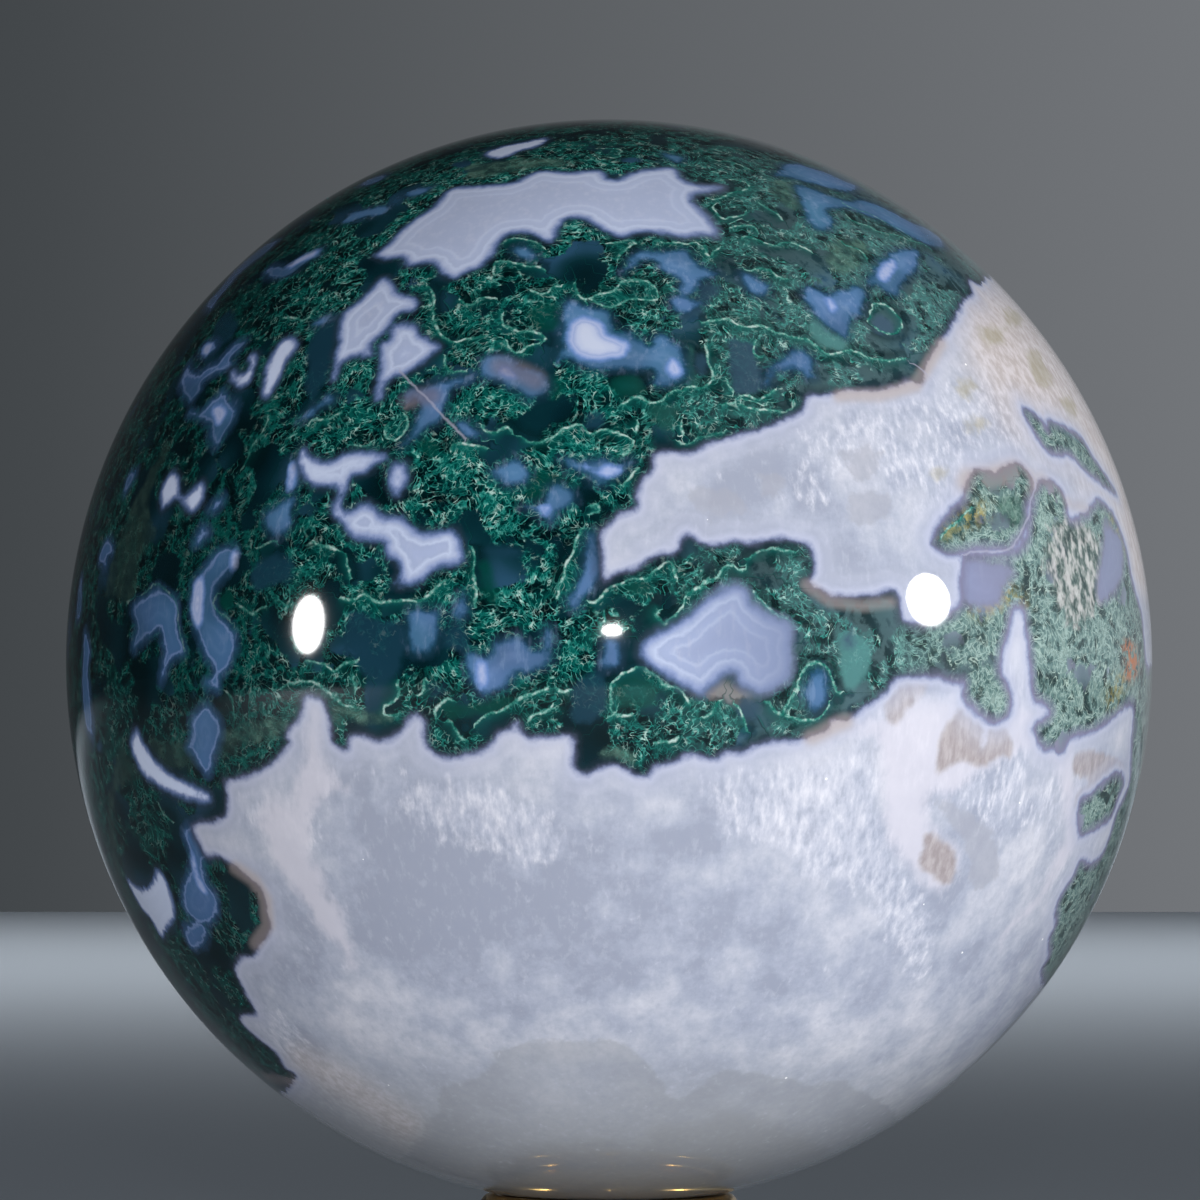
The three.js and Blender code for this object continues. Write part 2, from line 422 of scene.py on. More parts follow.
BLUE_WINDOWS = [
    [(460, 424), (466, 422), (472, 426), (478, 432), (483, 437), (474, 438), (465, 436), (461, 430)],
    [(492, 472), (500, 466), (508, 462), (516, 460), (524, 464), (528, 472), (524, 482), (514, 486), (506, 486), (500, 480)],
    [(520, 506), (532, 505), (542, 500), (548, 490), (558, 486), (568, 490), (574, 498), (566, 506), (558, 512), (553, 522), (546, 522), (540, 514), (532, 510)],
    [(562, 460), (570, 458), (580, 462), (592, 461), (606, 459), (620, 463), (632, 461), (628, 470), (618, 478), (606, 484), (594, 480), (584, 474), (572, 470)],
    [(586, 534), (592, 531), (600, 532), (601, 545), (602, 560), (602, 577), (596, 582), (590, 592), (580, 600), (578, 608), (571, 609), (568, 600), (574, 592), (580, 580), (585, 566), (587, 550)],
    [
        (466, 655), (474, 652), (484, 658), (490, 652), (492, 644), (500, 640), (512, 636), (522, 640), (530, 648),
        (540, 650), (544, 640), (546, 628), (552, 632), (552, 650), (550, 660), (540, 668), (526, 672), (516, 672),
        (508, 680), (505, 688), (494, 694), (484, 696), (477, 690), (472, 678), (468, 668),
    ],
    [(408, 612), (418, 608), (430, 610), (440, 612), (438, 628), (436, 645), (430, 652), (416, 654), (410, 648), (409, 630)],
    [(455, 604), (460, 596), (464, 592), (467, 600), (467, 612), (462, 620), (455, 617)],
    [(604, 640), (612, 638), (620, 642), (620, 654), (618, 666), (606, 668), (600, 664), (604, 652)],
    [
        (561, 316), (566, 302), (580, 306), (596, 309), (608, 312), (612, 322), (616, 330), (626, 332), (636, 338),
        (650, 346), (652, 340), (660, 334), (668, 336), (672, 344), (680, 348), (684, 358), (688, 372), (684, 380),
        (674, 384), (662, 386), (654, 382), (654, 372), (648, 370), (634, 370), (620, 368), (606, 370), (592, 372),
        (578, 366), (566, 360), (557, 362), (562, 350), (560, 336), (563, 324),
    ],
    [
        (623, 273), (628, 264), (632, 256), (640, 250), (655, 251), (670, 250), (684, 250), (692, 256), (698, 262),
        (708, 268), (718, 274), (712, 278), (700, 280), (698, 288), (690, 296), (680, 294), (682, 284), (676, 276),
        (664, 272), (656, 264), (644, 260), (636, 264), (628, 270),
    ],
    [(672, 298), (682, 296), (694, 300), (702, 302), (696, 308), (688, 314), (680, 310), (674, 304)],
    [(742, 272), (750, 276), (760, 282), (768, 286), (768, 296), (758, 296), (750, 292), (744, 284)],
    [(764, 384), (766, 372), (772, 364), (780, 360), (790, 352), (800, 351), (808, 354), (812, 362), (810, 372), (814, 378), (806, 376), (802, 370), (794, 368), (784, 370), (776, 372), (770, 382)],
    [(808, 288), (818, 290), (830, 294), (845, 290), (856, 286), (866, 292), (864, 302), (862, 314), (852, 318), (850, 330), (846, 338), (838, 334), (828, 326), (818, 318), (810, 306), (804, 296)],
    [(870, 276), (876, 266), (884, 258), (892, 252), (902, 249), (914, 249), (920, 254), (918, 266), (914, 274), (906, 278), (902, 286), (898, 296), (888, 292), (878, 286), (868, 284)],
    [(775, 176), (780, 168), (792, 163), (806, 166), (824, 172), (842, 180), (856, 186), (850, 192), (836, 190), (822, 186), (806, 182), (790, 178)],
    [
        (796, 186), (812, 188), (830, 196), (846, 200), (862, 200), (880, 206), (896, 214), (912, 222), (926, 228),
        (938, 236), (944, 246), (932, 246), (918, 240), (900, 232), (884, 222), (868, 216), (852, 210), (838, 208),
        (826, 212), (834, 222), (826, 230), (812, 226), (804, 214), (800, 200),
    ],
    [(806, 680), (812, 668), (820, 668), (826, 676), (828, 688), (824, 704), (814, 712), (806, 704), (804, 692)],
    [(133, 640), (137, 626), (133, 612), (136, 604), (146, 598), (152, 592), (160, 590), (170, 594), (176, 604), (177, 620), (180, 636), (184, 652), (176, 656), (168, 664), (164, 676), (161, 682), (162, 668), (166, 654), (162, 640), (160, 628), (150, 634), (140, 644), (134, 650)],
    [
        (192, 592), (196, 580), (204, 572), (212, 562), (220, 552), (230, 548), (238, 552), (234, 562), (228, 572),
        (218, 582), (214, 592), (213, 604), (216, 614), (226, 622), (232, 632), (236, 644), (233, 658), (226, 668),
        (218, 676), (218, 690), (212, 688), (206, 682), (214, 676), (216, 666), (206, 656), (200, 640), (194, 622), (192, 606),
    ],
    [(267, 524), (266, 514), (276, 508), (284, 500), (294, 494), (298, 500), (292, 512), (292, 524), (286, 532), (276, 537), (270, 532)],
    [(285, 480), (288, 464), (296, 458), (302, 464), (300, 478), (294, 492), (288, 490)],
    [(190, 412), (200, 414), (210, 402), (218, 398), (222, 392), (228, 402), (238, 406), (234, 420), (228, 430), (222, 440), (216, 447), (212, 436), (210, 424), (200, 418)],
    [(201, 354), (203, 346), (208, 342), (214, 342), (216, 348), (210, 352), (206, 356)],
    [(265, 272), (272, 266), (282, 268), (290, 266), (300, 258), (312, 252), (322, 248), (320, 256), (308, 262), (296, 270), (286, 276), (272, 278)],
    [(207, 303), (214, 296), (222, 286), (232, 273), (244, 262), (256, 252), (268, 244), (278, 241), (270, 249), (256, 260), (242, 271), (230, 284), (218, 299), (210, 310)],
    [(180, 386), (184, 372), (188, 364), (192, 372), (200, 374), (208, 368), (218, 362), (226, 354), (236, 344), (246, 341), (240, 350), (232, 358), (234, 364), (224, 370), (214, 374), (204, 380), (198, 392), (190, 402), (184, 392)],
    [(312, 325), (318, 320), (326, 315), (330, 316), (327, 322), (319, 327)],
    [(300, 420), (310, 410), (322, 402), (328, 394), (336, 398), (334, 404), (322, 408), (312, 416)],
    [
        (402, 446), (408, 434), (414, 424), (420, 414), (422, 404), (414, 398), (408, 404), (404, 396), (410, 388),
        (422, 388), (432, 384), (448, 380), (470, 378), (466, 382), (452, 388), (446, 400), (444, 412), (438, 424),
        (428, 428), (420, 436), (410, 444),
    ],
    [(480, 366), (486, 356), (500, 356), (514, 360), (524, 366), (536, 370), (546, 376), (548, 388), (542, 396), (530, 398), (524, 396), (514, 390), (504, 386), (494, 380), (484, 376)],
    [(124, 492), (127, 480), (131, 472), (136, 470), (134, 478), (129, 486)],
    [(100, 556), (104, 546), (108, 540), (112, 546), (112, 553), (107, 556), (106, 566), (102, 562)],
    [(77, 620), (78, 600), (80, 582), (82, 578), (82, 600), (80, 616)],
    [(85, 632), (88, 640), (90, 655), (88, 668), (90, 700), (93, 735), (86, 725), (83, 690), (84, 655)],
    [(208, 512), (214, 504), (220, 498), (225, 496), (223, 504), (216, 510)],
    [(195, 543), (197, 534), (201, 526), (206, 528), (209, 534), (204, 540), (199, 545)],
    [(192, 722), (198, 712), (206, 706), (214, 714), (220, 722), (220, 738), (216, 752), (210, 768), (206, 774), (200, 764), (192, 752), (188, 748), (192, 738)],
    [(184, 834), (192, 826), (200, 822), (206, 826), (208, 840), (210, 856), (204, 862), (206, 880), (214, 892), (218, 908), (210, 922), (196, 920), (186, 908), (182, 890), (190, 872), (192, 858), (188, 846)],
    [(186, 930), (197, 922), (207, 930), (203, 944), (192, 947)],
    [(340, 224), (350, 214), (360, 210), (372, 208), (380, 205), (389, 207), (386, 212), (374, 216), (362, 218), (352, 222)],
    [(362, 184), (372, 178), (386, 174), (380, 180), (368, 185)],
    [(405, 195), (412, 190), (424, 187), (434, 186), (426, 193), (414, 196)],
    [(512, 249), (520, 247), (530, 250), (536, 257), (526, 259), (516, 255)],
    [(662, 153), (674, 154), (684, 158), (678, 162), (666, 158)],
    [(1100, 600), (1098, 580), (1102, 560), (1104, 540), (1104, 528), (1112, 530), (1120, 540), (1123, 560), (1120, 580), (1112, 592)],
    [(958, 564), (972, 560), (988, 562), (1002, 564), (1012, 572), (1008, 580), (1002, 592), (998, 606), (980, 606), (966, 600), (958, 584)],
]
SLATE_WINDOWS = [
    [(306, 360), (308, 344), (314, 332), (322, 322), (332, 314), (344, 312), (342, 330), (336, 350), (332, 370), (324, 386), (312, 400), (304, 384)],
    [(350, 614), (362, 610), (376, 616), (392, 622), (406, 626), (406, 648), (400, 664), (390, 676), (372, 678), (362, 670), (352, 656), (344, 640)],
    [(731, 340), (742, 341), (754, 346), (760, 358), (764, 370), (764, 386), (758, 396), (744, 396), (734, 390), (731, 370)],
    [(872, 322), (876, 314), (886, 316), (894, 322), (896, 330), (888, 333), (878, 330)],
    [(574, 690), (580, 676), (590, 672), (602, 674), (608, 690), (604, 706), (600, 716), (590, 724), (578, 724), (572, 710)],
    [(250, 575), (262, 560), (280, 556), (296, 562), (292, 580), (276, 588), (258, 590)],
    [(212, 330), (220, 318), (230, 310), (238, 318), (236, 330), (226, 342), (214, 344)],
    [(440, 642), (446, 628), (452, 622), (462, 622), (468, 634), (466, 650), (452, 654), (444, 650)],
    [(700, 284), (712, 282), (722, 286), (716, 298), (704, 304), (690, 312), (686, 304), (694, 296)],
    [(696, 354), (702, 352), (707, 360), (706, 372), (700, 374), (695, 366)],
    [(482, 552), (494, 546), (508, 545), (522, 549), (520, 557), (508, 559), (494, 558)],
    [(428, 684), (438, 681), (448, 684), (446, 694), (436, 702), (428, 698)],
    [(368, 690), (376, 688), (380, 698), (376, 710), (368, 708)],
    [(585, 418), (594, 412), (606, 414), (604, 426), (596, 431), (587, 427)],
    [(840, 640), (848, 630), (852, 622), (856, 640), (850, 650)],
    [(740, 700), (750, 694), (758, 700), (756, 714), (746, 718), (738, 712)],
]
GREEN_WINDOWS = [
    [(531, 476), (534, 468), (542, 465), (552, 469), (560, 476), (570, 480), (580, 482), (578, 490), (566, 488), (556, 488), (548, 492), (540, 498), (530, 498), (524, 490)],
    [(614, 694), (618, 682), (628, 675), (642, 674), (654, 680), (660, 690), (656, 704), (644, 710), (632, 708), (622, 710), (616, 704)],
    [(440, 710), (446, 702), (460, 702), (476, 702), (492, 698), (508, 696), (516, 696), (506, 706), (494, 712), (478, 716), (464, 720), (450, 718)],
    [(646, 412), (652, 404), (664, 404), (676, 404), (682, 408), (676, 416), (674, 426), (666, 432), (658, 430), (652, 420)],
    [(808, 322), (818, 320), (826, 326), (836, 334), (846, 340), (846, 350), (838, 352), (828, 350), (820, 346), (812, 338)],
    [(522, 312), (534, 304), (548, 300), (560, 302), (560, 322), (552, 330), (540, 328), (528, 322)],
    [(838, 636), (850, 632), (866, 640), (872, 656), (868, 676), (858, 690), (846, 690), (840, 676), (836, 656)],
    [(418, 444), (424, 438), (432, 438), (438, 446), (434, 454), (424, 456)],
    [(478, 566), (486, 562), (494, 572), (498, 590), (500, 606), (490, 602), (482, 586)],
    [(216, 600), (222, 592), (230, 588), (234, 598), (230, 610), (222, 612)],
    [(546, 376), (554, 374), (562, 378), (564, 392), (558, 400), (548, 396)],
    [(688, 346), (694, 350), (696, 372), (700, 382), (690, 386), (686, 372), (688, 358)],
    [(624, 586), (634, 582), (648, 584), (654, 592), (644, 598), (630, 596)],
    [(608, 384), (618, 376), (632, 376), (642, 382), (646, 392), (634, 396), (620, 398), (612, 392)],
]
CELADON = [
    [
        (165, 440), (158, 455), (150, 470), (142, 486), (130, 505), (124, 525), (118, 545), (110, 570), (106, 592),
        (112, 600), (124, 602), (134, 596), (138, 570), (144, 556), (150, 545), (156, 535), (152, 520), (150, 505),
        (152, 490), (160, 470), (168, 452), (172, 440),
    ],
    [
        (148, 740), (180, 738), (200, 735), (222, 728), (240, 724), (262, 718), (282, 715), (289, 724), (286, 736),
        (262, 744), (240, 752), (222, 758), (212, 764), (200, 768), (186, 770), (176, 774), (166, 768), (158, 758), (150, 748),
    ],
    [
        (120, 740), (126, 748), (132, 758), (138, 768), (142, 778), (132, 784), (120, 788), (114, 800), (114, 816),
        (116, 836), (118, 856), (124, 880), (132, 905), (118, 880), (112, 856), (109, 836), (108, 812), (109, 792), (112, 774), (116, 756),
    ],
    [(330, 708), (346, 704), (360, 708), (376, 712), (396, 716), (388, 722), (370, 724), (350, 722), (338, 728)],
    [(770, 182), (784, 180), (800, 184), (808, 192), (806, 204), (800, 212), (788, 210), (778, 204), (772, 196)],
    [(600, 752), (612, 746), (628, 746), (636, 752), (634, 764), (620, 764), (608, 764)],
    [(1000, 500), (1010, 495), (1024, 500), (1028, 514), (1024, 526), (1012, 530), (1002, 520)],
    [(466, 166), (490, 162), (520, 158), (556, 158), (580, 162), (560, 168), (524, 170), (490, 178), (468, 178)],
    [(825, 246), (838, 238), (856, 238), (868, 246), (866, 262), (852, 272), (838, 274), (826, 262)],
]

# %% [markdown]
# ### Frills
# Where a sheet of threads meets the polished surface edge on, it shows as one long frilled line, pale along its
# crest, with green glowing on one hand of it and a dark hollow on the other. The main ones are drawn as
# open lines. Two long pale lines are cracks that quartz has healed.

# %% Outline the frills
FRILLS = [
    [(575, 282), (577, 292), (583, 299), (590, 298), (600, 294), (612, 292), (618, 288), (622, 282), (632, 280), (644, 281), (652, 285), (657, 292), (659, 299)],
    [(659, 299), (650, 300), (630, 300), (618, 305), (608, 308), (596, 303), (588, 299)],
    [(530, 290), (540, 294), (548, 291), (553, 287), (560, 288), (566, 284)],
    [(502, 312), (502, 324), (508, 327), (514, 330), (520, 332), (530, 331), (540, 333), (546, 338), (543, 345)],
    [(420, 306), (430, 307), (434, 315), (436, 325), (440, 333), (448, 339), (455, 342), (462, 340), (475, 338), (490, 336)],
    [(460, 298), (464, 303), (472, 304), (482, 298), (490, 297), (500, 300)],
    [(445, 355), (446, 367), (452, 372), (460, 371), (470, 369)],
    [(506, 340), (510, 350), (518, 354), (530, 346), (540, 344)],
    [(450, 452), (452, 446), (460, 443), (470, 444), (480, 447), (490, 450)],
    [(479, 424), (486, 430), (494, 434), (500, 431), (505, 426), (513, 431), (512, 437)],
    [(520, 438), (530, 441), (545, 440), (556, 436), (562, 430), (570, 428), (580, 424), (586, 431), (592, 434), (600, 430), (610, 430), (622, 434), (632, 438)],
    [(638, 420), (637, 430), (634, 440), (630, 450), (622, 456), (614, 454)],
    [(618, 404), (626, 402), (632, 398), (640, 397), (648, 401), (656, 402), (664, 398), (672, 391), (682, 391), (690, 387), (700, 388), (706, 386)],
    [(706, 386), (712, 380), (713, 372), (708, 362), (706, 350), (704, 342)],
    [(784, 333), (795, 337), (806, 338), (812, 342), (820, 350), (828, 354), (838, 353), (846, 350), (856, 351), (866, 356), (880, 361), (895, 360), (908, 357)],
    [(720, 405), (735, 403), (745, 406), (760, 410), (775, 410), (785, 413), (792, 407), (795, 398)],
    [(676, 440), (685, 444), (694, 442), (698, 438), (706, 438), (714, 434), (728, 431)],
    [(680, 420), (682, 430), (686, 437)],
    [(738, 397), (744, 395), (752, 396), (760, 399), (770, 394), (778, 388)],
    [(727, 378), (731, 388), (736, 396)],
    [(756, 340), (754, 350), (758, 355), (765, 357)],
    [(711, 200), (718, 198), (726, 196), (734, 192), (745, 190), (749, 184), (740, 181), (728, 179)],
    [(758, 202), (764, 206), (770, 210), (778, 215), (784, 222)],
    [(712, 205), (716, 212), (722, 218), (733, 217), (742, 214), (750, 211)],
    [(729, 228), (738, 226), (748, 225), (756, 228), (758, 236)],
    [(741, 239), (750, 237), (765, 243), (776, 245), (785, 242), (795, 243), (808, 250), (815, 253)],
    [(742, 268), (752, 270), (762, 268), (770, 270), (776, 276), (782, 280), (790, 279)],
    [(700, 322), (715, 321), (728, 320), (738, 325), (750, 327), (762, 326), (775, 332), (784, 334)],
    [(868, 322), (871, 310), (876, 303), (886, 305), (894, 312), (901, 322), (899, 332), (890, 335), (880, 331), (872, 326)],
    [(845, 214), (856, 222), (868, 226), (880, 232), (895, 235), (910, 240), (925, 245), (935, 252)],
    [(840, 201), (852, 208), (870, 214), (885, 222), (900, 230), (912, 238)],
    [(840, 240), (848, 246), (860, 250), (866, 256), (870, 262)],
    [(960, 245), (970, 256), (978, 268), (985, 278)],
    [(557, 600), (560, 585), (566, 565), (573, 550), (578, 535), (584, 524)],
    [(472, 545), (475, 560), (474, 575), (476, 592), (474, 610)],
    [(588, 508), (594, 505), (600, 508), (597, 514), (591, 513), (588, 519)],
    [(620, 487), (628, 480), (635, 472), (642, 467)],
    [(587, 601), (597, 601), (605, 594), (612, 588), (620, 584), (628, 580), (636, 579), (645, 578), (652, 574), (660, 566), (668, 562), (672, 566), (676, 575), (677, 583)],
    [(611, 708), (610, 695), (612, 684), (618, 676), (628, 671), (640, 668), (650, 671), (658, 676), (664, 684), (672, 686), (680, 690), (688, 700), (692, 708)],
    [(606, 719), (614, 714), (626, 716), (634, 712)],
    [(652, 745), (664, 742), (675, 740), (680, 734)],
    [(700, 718), (712, 714), (718, 704), (721, 697)],
    [(734, 702), (740, 710), (744, 722), (748, 734)],
    [(764, 702), (770, 702), (772, 708), (780, 712), (788, 702), (796, 690), (802, 680)],
    [(782, 714), (795, 718), (808, 720), (820, 718), (828, 708), (832, 700)],
    [(800, 690), (797, 684), (802, 674), (808, 664), (818, 662), (828, 668), (832, 678), (836, 690), (846, 692)],
    [(744, 560), (752, 556), (762, 550), (775, 548), (785, 550), (800, 553)],
    [(700, 582), (710, 580), (718, 576), (722, 570), (732, 566), (742, 570), (750, 566)],
    [(682, 600), (690, 592), (700, 588), (712, 588)],
    [(660, 608), (656, 616), (664, 624), (672, 618), (680, 610), (686, 602)],
    [(753, 590), (760, 600), (770, 610), (780, 616), (792, 620)],
    [(304, 661), (318, 662), (328, 666), (336, 670), (342, 664), (350, 662), (359, 660), (359, 654)],
    [(352, 672), (354, 684), (357, 695)],
    [(280, 690), (290, 684), (305, 681), (318, 684), (328, 692), (338, 700), (344, 705), (352, 707), (360, 706)],
    [(398, 680), (399, 690), (396, 700), (386, 706), (383, 713), (392, 716), (404, 712)],
    [(418, 696), (424, 690), (424, 680), (432, 680)],
    [(437, 722), (434, 712), (440, 704), (448, 699), (458, 702)],
    [(444, 720), (452, 724), (456, 732), (462, 738), (470, 741)],
    [(472, 727), (480, 720), (490, 714), (500, 710), (510, 706), (518, 699), (530, 695), (540, 692), (547, 689), (548, 680), (556, 676)],
    [(556, 686), (562, 692), (570, 690), (576, 691)],
    [(526, 722), (534, 714), (545, 712), (552, 708), (556, 701)],
    [(255, 550), (264, 545), (272, 541), (280, 545)],
    [(345, 552), (347, 562), (350, 572), (352, 583)],
    [(340, 597), (352, 600), (365, 595), (372, 598), (380, 602), (395, 601), (408, 600), (418, 602), (428, 596), (436, 588), (443, 582), (452, 580)],
    [(225, 688), (232, 700), (234, 712), (236, 724)],
    [(313, 540), (322, 546), (332, 548), (340, 553)],
    [(306, 426), (312, 421), (320, 419), (330, 418), (338, 415), (345, 410)],
    [(352, 444), (362, 446), (370, 444), (372, 438)],
    [(403, 412), (408, 420), (405, 432), (396, 440), (387, 437), (385, 428), (392, 422)],
    [(240, 472), (250, 452), (262, 432), (270, 415)],
    [(283, 318), (295, 318), (305, 320), (312, 312), (318, 304)],
    [(425, 285), (432, 290), (434, 300), (432, 312)],
    [(136, 590), (134, 598), (127, 602), (128, 610)],
    [(140, 597), (150, 588), (158, 585), (164, 588), (172, 596), (177, 606), (179, 625), (183, 645), (185, 655)],
    [(220, 592), (216, 598), (213, 606), (222, 614), (230, 620), (233, 624)],
    [(236, 602), (246, 610), (254, 615), (257, 612), (260, 608), (270, 606)],
    [(494, 274), (494, 264), (500, 261), (510, 262), (525, 265), (540, 268), (548, 272)],
    [(500, 246), (506, 240), (515, 238), (526, 239), (538, 243), (548, 250)],
    [(606, 243), (620, 242), (630, 240), (636, 243), (628, 248), (620, 254), (616, 262)],
    [(655, 240), (665, 243), (676, 242), (684, 244), (694, 242), (702, 244)],
    [(704, 244), (708, 256), (716, 250), (722, 246)],
    [(599, 148), (610, 148), (620, 150), (618, 157), (606, 158)],
    [(705, 155), (715, 160), (728, 161), (742, 166), (756, 172)],
    [(158, 801), (162, 812), (168, 819), (176, 824)],
    [(939, 540), (946, 530), (956, 522), (966, 512), (974, 506)],
    [(1052, 420), (1062, 428), (1076, 440), (1090, 454), (1100, 470), (1110, 488)],
]
HEALED_CRACKS = [
    [(399, 371), (420, 392), (440, 413), (456, 429), (468, 442)],
    [(1028, 470), (1035, 480), (1034, 492), (1030, 502), (1029, 515), (1023, 528), (1018, 538), (1010, 549), (995, 552), (978, 551), (960, 556)],
    [(910, 362), (920, 368), (930, 378)],
]

# %% Measure the islands
ISLAND_COUNT_BEHIND = 34
WINDOW_COUNT_BEHIND = 46
ISLAND_RADII_MM = (1.2, 4.2)
dice = np.random.default_rng(11)


def blobs_behind(count, smallest, largest):
    """Millimetres to the edge of round patches strewn over the back, above zero inside one."""
    nearest = np.full(len(unit), -20.0)
    for _ in range(count):
        middle = dice.normal(size=3)
        middle /= np.linalg.norm(middle)
        radius = dice.uniform(smallest, largest)
        stretch = dice.normal(size=3)
        stretch /= np.linalg.norm(stretch)
        apart = (unit - middle) * BALL_MM
        apart -= 0.45 * (apart @ stretch)[:, None] * stretch
        nearest = np.maximum(nearest, radius - np.linalg.norm(apart, axis=1))
    return nearest + 1.3 * slow_noise(2.6, 5.3)


def with_back(front, behind_field):
    """The traced markings in front and the made-up ones behind, in one field."""
    return front * (1 - back_share) + behind_field * back_share


wobble = slow_noise(2.2, 8.8)
store("island_mm", with_back(field(WHITE_ISLANDS), blobs_behind(ISLAND_COUNT_BEHIND, *ISLAND_RADII_MM)))
store("heart_mm", with_back(field(HEARTS), blobs_behind(WINDOW_COUNT_BEHIND, 0.5, 1.4)))
store("blue_mm", with_back(field(BLUE_WINDOWS) + 0.3 * wobble, blobs_behind(WINDOW_COUNT_BEHIND, 1.0, 3.6)))
store("slate_mm", with_back(field(SLATE_WINDOWS) + 0.6 * wobble, blobs_behind(WINDOW_COUNT_BEHIND, 1.0, 3.2)))
store("green_mm", with_back(field(GREEN_WINDOWS) - 0.4 * wobble, blobs_behind(WINDOW_COUNT_BEHIND, 1.0, 3.2)))
store("celadon_mm", with_back(field(CELADON) + 0.4 * wobble, blobs_behind(WINDOW_COUNT_BEHIND, 1.0, 2.6)))
from_frill, frill_hand = beside(FRILLS)
back_frills = 3.5 * slow_noise(5, 4.7)
store("frill_mm", with_back(from_frill * frill_hand, back_frills))
store("frill_near", with_back(from_frill, np.abs(back_frills) + 3 * slow_noise(9, 3.9)))
from_crack, crack_hand = beside(HEALED_CRACKS)
store("crack_mm", with_back(from_crack * crack_hand, 9.0))

# %% [markdown]
# ## Stains, crystal sugar and gravel
# Iron stained some of the quartz tan and cream. Where the last water stood, the quartz grew as
# a white crust of tiny crystals. At the far right the threads broke up into light chips. The spots
# and the chips have outlines; the crust and the cream fade out, so they are strokes with a soft brush.

# %% Outline the stains and brush the soft tones
TAN_SPOTS = [
    [(885, 698), (896, 686), (906, 676), (921, 676), (929, 684), (921, 696), (910, 706), (902, 719), (894, 725), (885, 717)],
    [
        (959, 708), (975, 706), (983, 712), (984, 728), (981, 746), (985, 746), (990, 727), (1002, 725),
        (1009, 735), (1012, 746), (1009, 758), (998, 757), (984, 766), (973, 765), (961, 761),
        (944, 771), (936, 773), (938, 744), (944, 727), (952, 717),
    ],
    [(923, 835), (932, 834), (944, 842), (954, 852), (956, 867), (952, 880), (942, 884), (932, 877), (921, 869), (919, 857), (924, 848)],
    [
        (1076, 752), (1093, 750), (1109, 756), (1122, 763), (1124, 780), (1112, 790), (1096, 800),
        (1082, 812), (1075, 806), (1077, 793), (1087, 785), (1086, 779), (1074, 775), (1072, 763),
    ],
    [(198, 394), (206, 392), (209, 402), (203, 410), (195, 406)],
]
TAN_EDGES = [
    ([(236, 868), (254, 880), (266, 900), (268, 925), (256, 942)], 9, 0.9),
    ([(246, 1066), (268, 1077), (290, 1080)], 8, 0.7),
    ([(812, 737), (830, 728), (845, 722)], 11, 0.9),
    ([(806, 585), (830, 602), (862, 606), (890, 603)], 9, 0.75),
    ([(840, 396), (880, 396), (915, 386), (930, 362), (940, 345)], 9, 0.9),
    ([(968, 480), (990, 478), (1012, 472), (1026, 482)], 16, 0.95),
    ([(700, 700), (722, 690), (742, 700)], 14, 0.8),
    ([(1040, 476), (1062, 500), (1084, 508)], 9, 0.6),
    ([(500, 366), (520, 372), (536, 380)], 14, 0.7),
    ([(398, 408), (415, 398), (432, 396)], 12, 0.7),
]
CRYSTAL_CRUST = [
    ([(296, 720), (305, 760), (322, 782)], 16, 0.5),
    ([(880, 715), (930, 760), (985, 795), (1040, 810), (1070, 790)], 34, 0.6),
    ([(990, 660), (1020, 700), (1010, 780)], 24, 0.8),
    ([(830, 440), (880, 425), (920, 410), (1000, 410)], 40, 0.6),
    ([(890, 455), (940, 470), (950, 500)], 34, 0.7),
    ([(800, 485), (815, 492)], 16, 0.6),
    ([(1050, 880), (1070, 840), (1095, 845)], 14, 0.5),
    ([(1020, 360), (1048, 372), (1060, 392)], 18, 0.5),
]
NEEDLE_PATCHES = [
    [
        (240, 800), (262, 796), (284, 798), (302, 806), (318, 822), (316, 840), (300, 846), (286, 838),
        (266, 836), (246, 824),
    ],
    [
        (404, 786), (430, 778), (460, 782), (492, 784), (520, 792), (540, 808), (560, 830), (550, 856),
        (524, 868), (500, 852), (478, 836), (452, 838), (424, 826), (408, 806),
    ],
    [
        (706, 786), (728, 776), (760, 768), (790, 766), (820, 762), (846, 744), (862, 730), (880, 748),
        (877, 790), (882, 830), (896, 858), (912, 886), (926, 912), (932, 944), (924, 976), (912, 974),
        (898, 946), (880, 920), (864, 890), (846, 880), (820, 882), (800, 874), (788, 852), (766, 842),
        (742, 838), (722, 822),
    ],
    [(250, 1012), (270, 1008), (292, 1024), (300, 1046), (286, 1058), (268, 1046), (254, 1030)],
]
VEILS = [
    [
        (303, 703), (328, 703), (331, 759), (350, 788), (328, 800), (318, 826), (315, 858), (328, 873),
        (329, 891), (341, 902), (349, 917), (350, 935), (357, 949), (357, 973), (346, 964), (337, 949),
        (322, 935), (308, 915), (296, 899), (285, 880), (272, 862), (262, 840), (252, 816), (268, 796),
        (290, 790), (298, 760),
    ],
    [
        (836, 735), (865, 718), (883, 706), (924, 690), (1041, 706), (1050, 744), (1071, 738), (1077, 797),
        (1082, 841), (1065, 864), (1050, 888), (1033, 911), (1009, 935), (1000, 952), (997, 940), (1012, 917),
        (1038, 891), (1050, 864), (1062, 829), (1056, 776), (1038, 759), (1012, 759), (983, 776), (953, 797),
        (933, 799), (930, 817), (953, 838), (962, 861), (950, 888), (933, 894), (912, 878), (895, 858),
        (883, 835), (877, 797), (877, 759), (865, 740),
    ],
]
HILLS = [[
    (380, 1210), (395, 1170), (430, 1120), (445, 1090), (480, 1075), (500, 1050), (545, 1041), (590, 1037),
    (640, 1055), (668, 1092), (690, 1094), (730, 1068), (800, 1082), (850, 1085), (890, 1110), (930, 1150),
    (960, 1230), (609, 1330),
]]
